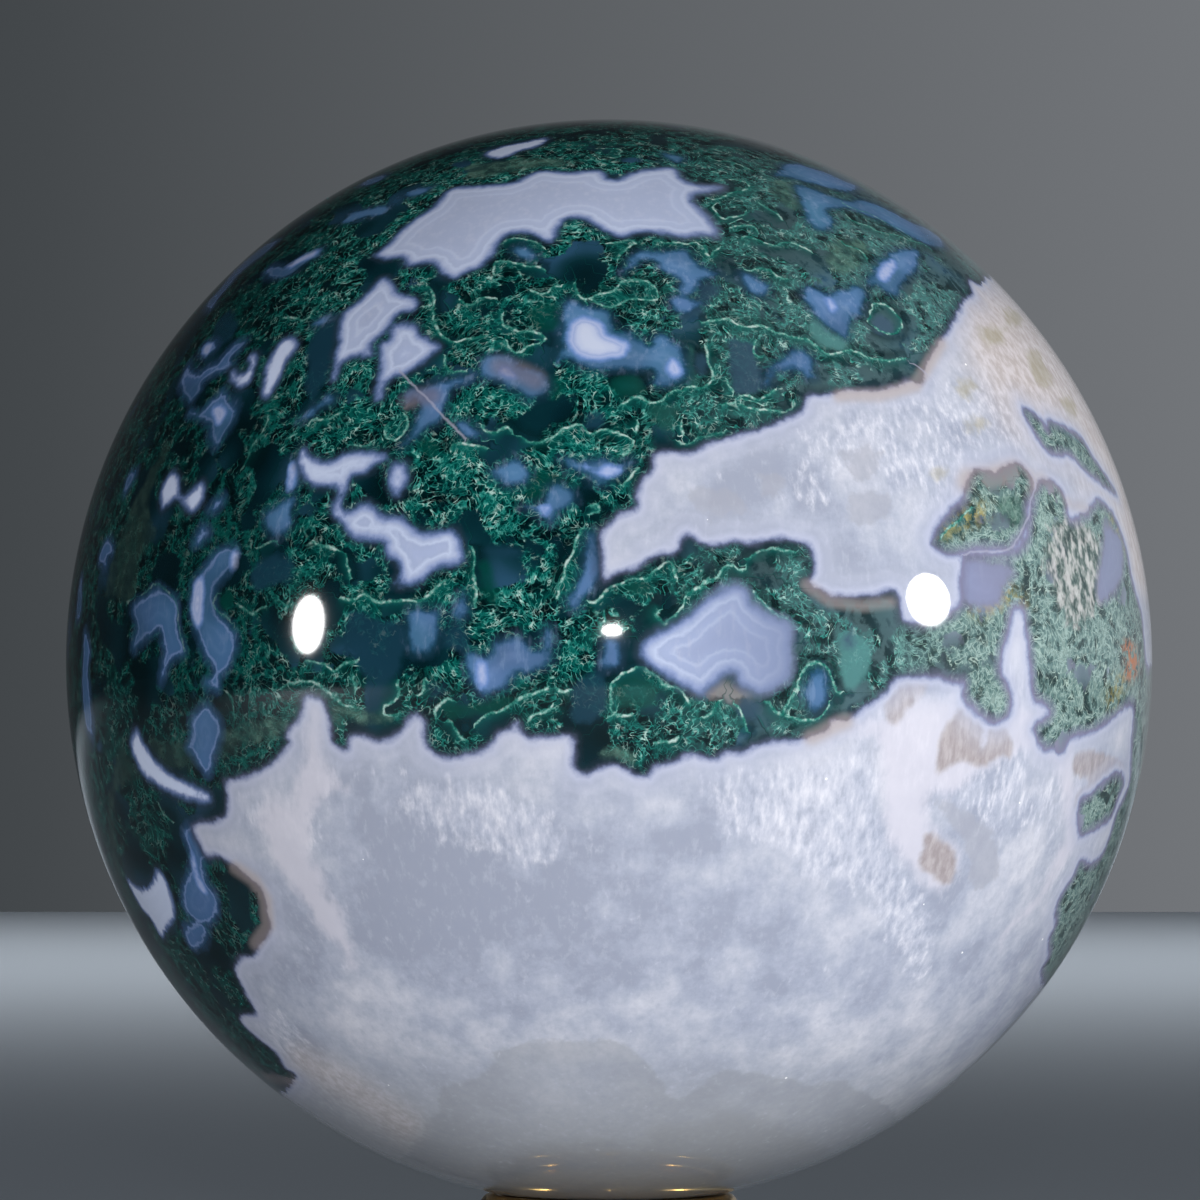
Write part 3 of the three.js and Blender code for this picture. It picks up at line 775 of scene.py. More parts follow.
LOW_HILLS = [[
    (480, 1225), (512, 1165), (528, 1146), (600, 1139), (634, 1143), (646, 1130), (662, 1124), (700, 1120),
    (716, 1108), (745, 1108), (780, 1122), (830, 1150), (860, 1215), (609, 1320),
]]
CREAM = [
    ([(985, 300), (1010, 350), (1040, 400), (1075, 430)], 52, 0.9),
    ([(1040, 330), (1080, 400), (1115, 470), (1140, 560)], 44, 1.0),
    ([(300, 1060), (355, 1090), (405, 1125)], 26, 0.55),
    ([(1030, 612), (1032, 650), (1045, 668)], 12, 0.6),
]
OLIVE_SPOTS = [
    [(978, 330), (992, 326), (1006, 330), (1003, 344), (988, 346)],
    [(1003, 310), (1014, 308), (1024, 320), (1016, 328), (1006, 324)],
    [(958, 380), (970, 376), (978, 388), (968, 398), (956, 393)],
    [(966, 420), (982, 416), (988, 426), (976, 433), (964, 430)],
    [(1026, 352), (1038, 350), (1046, 366), (1054, 380), (1044, 390), (1032, 376)],
    [(930, 470), (946, 466), (950, 476), (938, 484)],
    [(1060, 400), (1070, 396), (1078, 412), (1070, 420)],
]
GRAVEL = [[
    (1056, 520), (1072, 516), (1090, 528), (1100, 548), (1102, 580), (1098, 608), (1084, 622),
    (1070, 628), (1060, 610), (1052, 590), (1044, 566), (1046, 540),
]]
GREY_CRYSTALS = [
    [(833, 456), (845, 452), (858, 446), (866, 443), (874, 448), (882, 452), (878, 464), (873, 478), (860, 480), (850, 472), (848, 460)],
    [(760, 474), (775, 470), (786, 480), (780, 494), (766, 496), (758, 486)],
    [(690, 492), (712, 486), (740, 494), (746, 512), (722, 522), (698, 514)],
    [(848, 496), (872, 490), (892, 500), (886, 520), (864, 526), (846, 514)],
    [(936, 800), (960, 804), (990, 830), (1000, 866), (984, 890), (968, 880), (966, 850), (948, 824)],
]
THREAD_GOLD = [
    ([(1118, 520), (1130, 545)], 8, 0.9),
    ([(1000, 588), (1018, 604)], 9, 0.8),
    ([(978, 612), (996, 606)], 8, 0.7),
    ([(944, 530), (962, 520), (980, 512)], 10, 0.7),
    ([(1112, 700), (1120, 680)], 8, 0.6),
    ([(1016, 690), (1026, 706)], 7, 0.6),
]
THREAD_RUST = [([(1128, 646), (1133, 660), (1130, 674)], 6, 1.0)]


def brushed(strokes):
    """How strongly soft strokes cover each point, from 0 to 1: a stroke is a line, a width in pixels, a strength."""
    most = np.zeros(len(unit))
    for line, width, strength in strokes:
        ends = list(zip(line, line[1:]))
        for (x0, y0), (x1, y1) in ends:
            along_line = ((chart_x - x0) * (x1 - x0) + (chart_y - y0) * (y1 - y0)) / ((x1 - x0)**2 + (y1 - y0)**2)
            along_line = np.clip(along_line, 0, 1)
            off = np.hypot(chart_x - x0 - along_line * (x1 - x0), chart_y - y0 - along_line * (y1 - y0))
            most = np.maximum(most, strength * np.exp(-((off / width) ** 2)))
    return most


def eased(low, high, values):
    """0 below low, 1 above high, and a smooth change between them."""
    share = np.clip((values - low) / (high - low), 0, 1)
    return share**2 * (3 - 2 * share)


behind_tan = blobs_behind(8, 0.6, 1.8)
store("tan_mm", with_back(field(TAN_SPOTS), behind_tan))
store("olive_mm", field(OLIVE_SPOTS))
store("gravel_mm", field(GRAVEL))
store("stain", brushed(TAN_EDGES) + back_share * eased(0.25, 0.6, slow_noise(9, 1.7)))
store("crust", brushed(CRYSTAL_CRUST) + back_share * eased(0.0, 0.5, slow_noise(14, 8.3)))
store("cream", brushed(CREAM) + 0.8 * back_share * eased(0.15, 0.6, slow_noise(20, 4.9)))
store("gold", brushed(THREAD_GOLD) + back_share * eased(0.35, 0.6, slow_noise(8, 2.3)))
store("rust", brushed(THREAD_RUST))
behind_soft = 4 * slow_noise(9, 5.5) - 1.5
store("needle_mm", with_back(field(NEEDLE_PATCHES), behind_soft))
store("veil_mm", with_back(field(VEILS) + 0.5 * wobble, 5 * slow_noise(11, 8.1) - 1.8))
store("hill_mm", with_back(field(HILLS) + 0.8 * wobble, behind_soft))
store("low_hill_mm", with_back(field(LOW_HILLS) + 0.8 * wobble, behind_soft - 1))
store("grey_mm", field(GREY_CRYSTALS))

# %% [markdown]
# ## Slow changes through the moss
# The threads are brightest in the middle and to the right, and sink into dark glassy stone on the left.
# Near the ball's outline as the lens sees it, over the top and at the sides, they are darkened further by
# painted shade, kept in the same stored number as the stone's own tone. Towards the right the moss is
# paler, partly its own tone and partly painted light. At the far right they turn grey and sage green.
# Noise with bumps of two millimetres or more is also kept on the points, because there it costs nothing
# when the picture is rendered.

# %% Tone the moss
CLUMP_MM = 4.4
DEEP_MM = 6.5
SWAY_MM = 3.2


def slow_sway(size_mm, offset):
    """A smooth push for each point of the ball, in ball radii over size_mm, as three columns."""
    shift = Vector((offset, -offset, 2 * offset))
    scale = BALL_MM / size_mm
    return np.array([noise.noise_vector(Vector(point) * scale + shift) for point in unit])


# Darker at the left, which is the moss's own tone, and darker near the ball's outline as the lens sees it, which is
# painted shade.
front_tone_and_rim_shade = eased(150, 430, chart_x) * eased(0, 110, PHOTO_RADIUS + 30 - chart_reach)
back_light = 0.55 + 0.45 * slow_noise(24, 6.1)
store("moss_tone_and_rim_shade", front_tone_and_rim_shade * (1 - back_share) + np.clip(back_light, 0, 1) * back_share)
front_sage = eased(872, 985, chart_x) * eased(380, 430, chart_y)
store("sage", front_sage * (1 - back_share) + 0.5 * back_share * eased(0.1, 0.5, slow_noise(18, 9.4)))
# Paler towards the right: partly the stone's own tone, partly painted light from the right.
store("pale", eased(600, 880, chart_x) * (1 - back_share))
store("clump", slow_noise(CLUMP_MM, 9.9) + 0.5 * slow_noise(CLUMP_MM / 2, 2.1))
store("deep", slow_noise(DEEP_MM, 3.3) + 0.35 * slow_noise(DEEP_MM / 2.6, 5.8))
store("patchy", slow_noise(2.6, 1.2))
store("clouds", slow_noise(17, 4.4) + 0.5 * slow_noise(8, 7.2) + 0.4 * slow_noise(3.6, 6.6) + 0.15 * slow_noise(1.8, 2.8))
sway = 1.9 * slow_sway(SWAY_MM, 2.7) + 0.9 * slow_sway(SWAY_MM / 2, 6.3)
ball.data.attributes.new("sway", "FLOAT_VECTOR", "POINT").data.foreach_set("vector", sway.astype(np.float32).ravel())

# %% [markdown]
# ## Small helpers for the materials
# Colours are picked on the screen as hex values, which are gamma coded, and the renderer wants
# linear light. One function turns the first into the second. Another adds a node, sets it up and
# links what feeds it, and that is all the node trees below are made of.

# %% Helpers for materials
def linear(hex_colour):
    """A screen colour such as #1c8f68 as linear red, green, blue and a full alpha."""
    coded = [int(hex_colour[i:i + 2], 16) / 255 for i in (1, 3, 5)]
    return [c / 12.92 if c <= 0.04045 else ((c + 0.055) / 1.055) ** 2.4 for c in coded] + [1]


def add(tree, kind, inputs=None, stops=None, **settings):
    """Adds a node. An input is named or numbered and takes a value, a hex colour, a socket or a whole node."""
    made = tree.nodes.new(kind)
    for name, value in settings.items():
        setattr(made, name, value)
    for name, value in (inputs or {}).items():
        if isinstance(name, int):
            socket = made.inputs[name]
        else:
            socket = next(s for s in made.inputs if s.name == name and s.enabled)
        if isinstance(value, bpy.types.Node):
            value = next(s for s in value.outputs if s.enabled)
        if isinstance(value, bpy.types.NodeSocket):
            tree.links.new(value, socket)
        elif isinstance(value, str):
            socket.default_value = linear(value)
        else:
            socket.default_value = value
    if stops:
        low, high = stops[0][0], stops[-1][0]
        ends = made.color_ramp.elements
        for i, (position, hex_colour, *cover) in enumerate([stops[0], stops[-1]] + stops[1:-1]):
            share = (position - low) / (high - low)
            stop = ends[i] if i < 2 else ends.new(share)
            stop.position = share
            stop.color = linear(hex_colour)[:3] + (cover or [1])
    return made


def new_material(name, **constants):
    """A material with one Principled shader, whose constants are set on its own sockets."""
    material = bpy.data.materials.new(name)
    material.use_nodes = True
    shader = material.node_tree.nodes["Principled BSDF"]
    for socket, value in constants.items():
        shader.inputs[socket.replace("_", " ")].default_value = value
    return material, material.node_tree, shader


# %% [markdown]
# ## The stone's paint, layer by layer
# All noise is three-dimensional and reads the piece's own coordinates in millimetres, because the markings
# go right through the stone. Nothing stretches at a pole and there is no seam.

# %% Building blocks of the paint
def stored(tree, name):
    """The number that the ball's points carry under that name."""
    return add(tree, "ShaderNodeAttribute", attribute_name=name).outputs["Fac"]


def noisy(tree, place, size_mm, detail, harshness=0.6, output="Fac"):
    """Noise with bumps of that size, about 0.5 on average."""
    inputs = {"Vector": place, "Scale": 1 / size_mm, "Detail": detail, "Roughness": harshness}
    return add(tree, "ShaderNodeTexNoise", inputs).outputs[output]


def times(tree, first, second, operation="MULTIPLY"):
    """The product of two numbers, or what else the operation makes of them."""
    return add(tree, "ShaderNodeMath", {0: first, 1: second}, operation=operation)


def nudged(tree, value, push, swing):
    """A value moved by noise: half the swing either way at most."""
    centred = times(tree, push, -0.5, "ADD")
    return add(tree, "ShaderNodeMath", {0: centred, 1: swing, 2: value}, operation="MULTIPLY_ADD")


def between(tree, value, low, high, start=0.0, end=1.0):
    """Turns values from low to high into start to end, smoothly, and holds them there."""
    return add(
        tree, "ShaderNodeMapRange", {0: value, 1: low, 2: high, 3: start, 4: end},
        interpolation_type="SMOOTHSTEP",
    )


def on_line(tree, value, level, width):
    """1 where a value is at a level, falling to 0 at that width on either side of it."""
    off = times(tree, value, level, "SUBTRACT")
    return between(tree, times(tree, off, 0, "ABSOLUTE"), 0.0, width, 1.0, 0.0)


def laid_over(tree, below, above, share, blend="MIX"):
    """One colour over another, by a share from 0 to 1."""
    return add(tree, "ShaderNodeMix", {"Factor": share, "A": below, "B": above}, data_type="RGBA", blend_type=blend)


def shaded(tree, value, stops):
    """A colour, and a cover where the stops give one, for each value."""
    share = add(tree, "ShaderNodeMapRange", {0: value, 1: stops[0][0], 2: stops[-1][0]})
    return add(tree, "ShaderNodeValToRGB", {"Fac": share}, stops=stops)


# %% [markdown]
# ### Moss
# The green is chlorite and iron silicates that grew into the gel as threads. A slice through such a tangle
# looks like a sponge: pale strands round dark holes of about a millimetre. Ridged noise gives the crests
# and hollows of the tangle. The strands on them are contour lines of smooth noise, because those curl and never
# end. They crowd into clumps, and between the clumps the stone is clear and dark.

# %% Moss
TANGLE_MM = 1.5  # across the larger loops of the tangle
THREAD_MM = 0.55  # across the smallest


def tangled(tree, place, size_mm, detail):
    """Ridged noise: high along thin winding crests, low in the hollows between them."""
    inputs = {"Vector": place, "Scale": 1 / size_mm, "Detail": detail, "Roughness": 0.6, "Lacunarity": 2.3, "Offset": 0.95, "Gain": 2.0}
    return add(tree, "ShaderNodeTexNoise", inputs, noise_type="RIDGED_MULTIFRACTAL", normalize=False).outputs["Fac"]


def moss_paint(tree, place, sway, swayed, rough, fuzz):
    light = stored(tree, "moss_tone_and_rim_shade")
    patchy = stored(tree, "patchy")
    sage = stored(tree, "sage")
    pale = stored(tree, "pale")
    # Strands and frills are dimmer where the stone is dark on the left, and with the painted shade near the ball's
    # outline.
    lively = between(tree, light, 0.1, 0.9, 0.3, 1.0)
    fuzz_parts = add(tree, "ShaderNodeSeparateXYZ", {"Vector": fuzz}).outputs
    deep = stored(tree, "deep")
    window = shaded(tree, deep, [
        (-0.55, "#02191d"), (-0.2, "#04222a"), (0.1, "#082d35"), (0.35, "#153a48"), (0.65, "#284d68"),
    ])
    pale_window = shaded(tree, deep, [(-0.5, "#3a444a"), (-0.1, "#5f6474"), (0.2, "#828297"), (0.6, "#a3a2b7")])
    window = laid_over(tree, window, pale_window, sage)
    stain = stored(tree, "stain")
    window = laid_over(tree, window, "#978d8c", between(tree, stain, 0.2, 0.9, 0.0, 0.75))
    clump = nudged(tree, times(tree, stored(tree, "clump"), times(tree, stain, 0.7), "SUBTRACT"), rough, 1.1)
    clump = add(tree, "ShaderNodeMath", {0: sage, 1: 0.35, 2: clump}, operation="MULTIPLY_ADD")
    in_clump = between(tree, clump, -0.3, -0.12)
    half_swayed = add(tree, "ShaderNodeVectorMath", {0: sway, 1: (0.35, 0.35, 0.35), 2: place}, operation="MULTIPLY_ADD")
    bent = add(tree, "ShaderNodeVectorMath", {0: fuzz, 1: (0.9, 0.9, 0.9), 2: half_swayed}, operation="MULTIPLY_ADD")
    loops = tangled(tree, bent, TANGLE_MM, 2.4)
    height = nudged(tree, loops, add(tree, "ShaderNodeMath", {0: patchy, 1: 0.5, 2: 0.5}, operation="MULTIPLY_ADD"), 0.9)
    threads = shaded(tree, height, [
        (0.2, "#001014"), (0.6, "#00191c"), (0.9, "#002527"), (1.2, "#023a38"), (1.5, "#064f49"), (1.9, "#11675f"),
    ])
    strand_colour = shaded(tree, fuzz_parts[1], [(0.32, "#0d685f"), (0.44, "#238378"), (0.54, "#5dafa3"), (0.64, "#b9dcd2")])
    fine = noisy(tree, half_swayed, THREAD_MM, 1.2, 0.5)
    wide = noisy(tree, swayed, 2.2 * THREAD_MM, 1.5, 0.5)
    strands = times(tree, on_line(tree, fine, 0.5, 0.06), between(tree, height, 0.3, 1.3, 0.1, 0.8))
    longer = times(tree, on_line(tree, wide, 0.5, 0.035), between(tree, rough, 0.42, 0.56, 0.3, 1.0))
    strands = times(tree, strands, longer, "MAXIMUM")
    threads = laid_over(tree, threads, strand_colour, times(tree, strands, lively))
    pale_threads = shaded(tree, height, [
        (0.2, "#1f2e2e"), (0.8, "#3c5450"), (1.2, "#5b756d"), (1.8, "#8fa296"),
    ])
    threads = laid_over(tree, threads, pale_threads, sage)
    threads = laid_over(tree, threads, "#b4c9be", times(tree, sage, strands))
    colour = laid_over(tree, window, threads, in_clump)
    # A pale haze on the threads towards the right: partly their own tone, partly painted light.
    colour = laid_over(tree, colour, "#6f8f94", times(tree, pale, between(tree, height, 0.3, 1.3, 0.08, 0.36)))
    side = nudged(tree, stored(tree, "frill_mm"), rough, 0.8)
    near = between(tree, stored(tree, "frill_near"), 0.8, 0.45)
    glow = shaded(tree, side, [
        (-1.4, "#02181a", 0.0), (-0.6, "#02181a", 0.6), (-0.1, "#04292a", 0.5), (0.12, "#13605a", 0.6), (0.4, "#084b46", 0.5),
        (0.9, "#053b3a", 0.3), (1.4, "#0a4a46", 0.0),
    ])
    colour = laid_over(tree, colour, glow.outputs["Color"], times(tree, glow.outputs["Alpha"], lively))
    # A dark veil over the moss: the stone's own dark tone on the left, and painted shade near the ball's outline.
    colour = laid_over(tree, colour, "#06171b", between(tree, light, 0.0, 0.8, 0.35, 0.0))
    crest = shaded(tree, fuzz_parts[0], [(0.38, "#166459"), (0.48, "#458c80"), (0.56, "#83b3a8"), (0.64, "#b3cdc6")])
    frill = times(tree, times(tree, on_line(tree, side, 0.0, 0.2), near), lively)
    return colour, crest, frill


# %% [markdown]
# ### Light chips at the far right
# There the threads broke up, and light crystals grew in the gaps: a patch of upright cream and grey chips
# with dark gaps between them, and a few rust and yellow specks.

# %% Chips and rust
def chips_over(tree, colour, place, rough, fuzz):
    fuzz_parts = add(tree, "ShaderNodeSeparateXYZ", {"Vector": fuzz}).outputs
    leaning = add(tree, "ShaderNodeMapping", {"Vector": place, "Rotation": (0.0, -0.5, 0.0), "Scale": (1.0, 1.0, 0.6)})
    grain = noisy(tree, leaning, 0.8, 2, 0.6)
    chips = shaded(tree, grain, [
        (0.34, "#364443"), (0.43, "#56635f"), (0.49, "#858b88"), (0.55, "#aeaeac"), (0.66, "#cbc9c8"),
    ])
    patch = nudged(tree, stored(tree, "gravel_mm"), rough, 4.0)
    colour = laid_over(tree, colour, chips, between(tree, patch, -0.5, 0.9, 0.0, 0.8))
    gold = shaded(tree, fuzz_parts[1], [(0.38, "#6f6c3f"), (0.5, "#948a52"), (0.62, "#b3a566")])
    specks = between(tree, fuzz_parts[2], 0.42, 0.56)
    colour = laid_over(tree, colour, gold, times(tree, stored(tree, "gold"), specks))
    return laid_over(tree, colour, "#b5714a", times(tree, stored(tree, "rust"), specks))


# %% [markdown]
# ### Quartz
# Milky quartz is clear quartz full of tiny bubbles and flaws: grey-blue where it is clear, white where
# they crowd. Slow clouds carry most of it. Next to the moss the crystals stand side by side like
# needles, and in places a white veil or a greyer layer covers the clouds. The outlines of these
# are frayed by noise. Pinpoint sparkles are crystal faces that happen to catch the light.

# %% Quartz
SPARKLE_MM = 3.2  # from one sparkle to the next


def quartz_paint(tree, place, rough, edge):
    flaws = noisy(tree, place, 3.4, 5, 0.7)
    base = shaded(tree, nudged(tree, stored(tree, "clouds"), flaws, 2.6), [
        (-0.6, "#9da3b5"), (-0.2, "#a9afc1"), (0.1, "#b5bac9"), (0.4, "#c2c5d2"), (0.8, "#d3d4de"),
    ])
    height = add(tree, "ShaderNodeSeparateXYZ", {"Vector": place}).outputs["Z"]
    middle = ball_centre.z / MM
    # Greyer towards the bottom of the ball: partly the quartz's own colour, partly painted shade.
    base = laid_over(tree, base, "#b2b4b8", between(tree, height, middle - 30, middle - 47))
    growth = add(tree, "ShaderNodeMapping", {"Vector": place, "Scale": (1, 1, 0.32)})
    needles = noisy(tree, growth, 0.7, 4, 0.62)
    base = laid_over(tree, base, "#c9cddb", between(tree, needles, 0.5, 0.7, 0.0, 0.24))
    base = laid_over(tree, base, "#98a0b4", between(tree, needles, 0.5, 0.3, 0.0, 0.26))
    hill = nudged(tree, stored(tree, "hill_mm"), rough, 1.8)
    base = laid_over(tree, base, "#999ca3", times(tree, between(tree, hill, -0.3, 0.4), between(tree, hill, 0.3, 7, 0.5, 0.15)))
    low_hill = nudged(tree, stored(tree, "low_hill_mm"), rough, 1.8)
    base = laid_over(tree, base, "#9c9d9e", between(tree, low_hill, -1.2, 1.8, 0.0, 0.4))
    crust = nudged(tree, nudged(tree, stored(tree, "crust"), needles, 1.4), rough, 1.0)
    needle_colour = shaded(tree, needles, [(0.34, "#a2a8ba"), (0.45, "#b9becf"), (0.54, "#c9ccda"), (0.62, "#dadbe6"), (0.72, "#ebeaf2")])
    base = laid_over(tree, base, needle_colour, between(tree, crust, 0.2, 0.8, 0.0, 0.7))
    patch = nudged(tree, nudged(tree, stored(tree, "needle_mm"), rough, 3.5), needles, 3.0)
    base = laid_over(tree, base, needle_colour, between(tree, patch, -0.9, 1.1, 0.0, 0.6))
    veil = nudged(tree, nudged(tree, stored(tree, "veil_mm"), rough, 1.6), needles, 1.6)
    base = laid_over(tree, base, "#d2d0dc", between(tree, veil, -0.4, 1.4, 0.0, 0.8))
    grey = nudged(tree, stored(tree, "grey_mm"), rough, 2.6)
    base = laid_over(tree, base, "#a4a6b2", between(tree, grey, -0.3, 0.5, 0.0, 0.6))
    cream = shaded(tree, needles, [(0.4, "#c2b6b1"), (0.6, "#dcd3d4")])
    base = laid_over(tree, base, cream, between(tree, stored(tree, "cream"), 0.1, 0.9, 0.0, 0.85))
    olive = between(tree, nudged(tree, stored(tree, "olive_mm"), rough, 2.4), -0.5, 0.9, 0.0, 0.6)
    base = laid_over(tree, base, "#a39c80", olive)
    tan = nudged(tree, stored(tree, "tan_mm"), rough, 0.9)
    tan_colour = shaded(tree, needles, [(0.38, "#968b8b"), (0.5, "#a39999"), (0.62, "#b2a9aa")])
    base = laid_over(tree, base, tan_colour, between(tree, tan, -0.4, 0.5, 0.0, 0.85))
    rim = shaded(tree, edge, [
        (0.0, "#7f89a8", 1.0), (0.25, "#a0a7c2", 1.0), (0.5, "#b8bdd2", 0.85), (1.0, "#b0b5ca", 0.5), (1.7, "#bec2d4", 0.35),
        (2.1, "#b2b7ca", 0.2), (3.4, "#b2b7ca", 0.0),
    ])
    base = laid_over(tree, base, rim.outputs["Color"], rim.outputs["Alpha"])
    stain = times(tree, between(tree, stored(tree, "stain"), 0.1, 0.9), between(tree, edge, 2.6, 0.3, 0.0, 0.8))
    base = laid_over(tree, base, "#b3a9a8", stain)
    faces = add(tree, "ShaderNodeTexVoronoi", {"Vector": place, "Scale": 1 / SPARKLE_MM})
    lit = times(tree, between(tree, faces.outputs["Distance"], 0.05, 0.035), faces.outputs["Color"])
    return laid_over(tree, base, "#ffffff", between(tree, lit, 0.55, 0.7)), needles


# %% [markdown]
# ### Agate islands and windows
# Agate grows in bands from the wall inwards, so its colour depends on the distance to the edge. A
# colour ramp over that distance gives the dark halo, the blue rim, the white lines and the grey heart.

# %% Agate
def island_paint(tree, place, edge, grain):
    bands = shaded(tree, edge, [
        (-0.9, "#223040", 0.0), (-0.4, "#2c3a4c", 0.55), (-0.1, "#465c80", 0.95), (0.12, "#6a7da8", 1.0),
        (0.35, "#95a4cc", 1.0), (0.6, "#acb8d7", 1.0), (0.9, "#c3cee8", 1.0), (1.15, "#a8b4d4", 1.0),
        (1.6, "#abb7d8", 1.0), (1.85, "#bdc8e2", 1.0), (2.1, "#a8b3d3", 1.0), (2.9, "#a3aecd", 1.0),
    ])
    clear = times(tree, between(tree, edge, 0.8, 2.0), between(tree, grain, 0.46, 0.72, 0.0, 0.45))
    colour = laid_over(tree, bands.outputs["Color"], "#c9cddf", clear)
    colour = laid_over(tree, colour, "#7a86a6", times(tree, stored(tree, "pale"), 1.2))
    height = add(tree, "ShaderNodeSeparateXYZ", {"Vector": place}).outputs["Z"]
    middle = ball_centre.z / MM
    # Islands are lighter in the upper part of the ball, where more light falls: painted light.
    high = times(tree, between(tree, height, middle + 22, middle + 40, 0.0, 0.4), between(tree, edge, 0.3, 0.8))
    colour = laid_over(tree, colour, "#c6d0ea", high)
    left = times(tree, between(tree, stored(tree, "moss_tone_and_rim_shade"), 0.95, 0.35, 0.0, 0.85), between(tree, edge, 0.2, 0.6))
    colour = laid_over(tree, colour, "#d3def8", left)
    return colour, bands.outputs["Alpha"]


def window_paint(tree, edge, rough, grain):
    bands = shaded(tree, edge, [
        (-0.9, "#0a1c26", 0.0), (-0.15, "#12303f", 0.6), (0.2, "#2a5272", 0.95), (0.5, "#4f769f", 1.0),
        (0.9, "#567ca5", 1.0), (1.3, "#6e8fb9", 1.0), (1.6, "#5d81ac", 1.0), (2.3, "#6c8ab7", 1.0), (3.0, "#7d97c2", 1.0),
    ])
    hue = shaded(tree, stored(tree, "clouds"), [(-0.7, "#3f7c92"), (-0.2, "#4a7ba0"), (0.3, "#5b74a6"), (0.8, "#6a6f9c")])
    colour = laid_over(tree, bands.outputs["Color"], hue, between(tree, edge, 0.1, 0.8, 0.1, 0.4))
    colour = laid_over(tree, colour, "#8aa3c8", between(tree, grain, 0.52, 0.68, 0.0, 0.35))
    # Windows are darker on the left, which is their own tone, and near the ball's outline, which is painted shade.
    dim_side = between(tree, stored(tree, "moss_tone_and_rim_shade"), 0.5, 0.1, 0.0, 0.55)
    colour = laid_over(tree, colour, "#3f5f8d", dim_side)
    rim = shaded(tree, edge, [(0.1, "#8ea4d4", 0.0), (0.3, "#8ea4d4", 1.0), (0.5, "#8ea4d4", 0.0)])
    colour = laid_over(tree, colour, "#8ea4d4", times(tree, rim.outputs["Alpha"], dim_side))
    sunk = between(tree, stored(tree, "deep"), -0.5, 0.3, 0.4, 0.0)
    colour = laid_over(tree, colour, "#1b4054", sunk)
    heart = shaded(tree, nudged(tree, stored(tree, "heart_mm"), rough, 0.7), [
        (-0.4, "#5f80b8", 0.0), (-0.1, "#6f8fc8", 0.75), (0.15, "#92a6d4", 1.0), (0.35, "#a9b6da", 1.0), (0.5, "#9dacd4", 1.0),
        (0.8, "#bac4df", 1.0), (1.2, "#c4cce2", 1.0),
    ])
    colour = laid_over(tree, colour, heart.outputs["Color"], heart.outputs["Alpha"])
    colour = laid_over(tree, colour, "#6f6674", between(tree, stored(tree, "stain"), 0.1, 0.8, 0.0, 0.65))
    return laid_over(tree, colour, "#8f8ea8", times(tree, stored(tree, "sage"), 0.75)), bands.outputs["Alpha"]


def glass_over(tree, colour, rough):
    """Clear green and pale celadon patches between the threads."""
    green = nudged(tree, stored(tree, "green_mm"), rough, 1.0)
    inside = shaded(tree, green, [(-0.1, "#054a42"), (0.5, "#033e37"), (1.6, "#084a46")])
    # Green windows are paler towards the right: partly their own tone, partly painted light.
    inside = laid_over(tree, inside, "#5f9595", times(tree, stored(tree, "pale"), 0.75))
    colour = laid_over(tree, colour, inside, between(tree, green, -0.3, 0.6, 0.0, 0.85))
    celadon = nudged(tree, stored(tree, "celadon_mm"), rough, 1.6)
    inside = shaded(tree, rough, [(0.38, "#2a4542"), (0.5, "#3d5d55"), (0.62, "#5a7c70")])
    # Celadon is darker on the left, which is its own tone, and near the ball's outline, which is painted shade.
    inside = laid_over(tree, inside, "#1c302f", between(tree, stored(tree, "moss_tone_and_rim_shade"), 0.5, 0.1, 0.0, 0.75))
    return laid_over(tree, colour, inside, between(tree, celadon, -0.3, 0.7, 0.0, 0.7))


# %% [markdown]
# ### The whole stone
# Polished chalcedony is glassy, with an index of refraction of about 1.54. The polish is a little poorer on
# the soft green minerals than on the quartz.

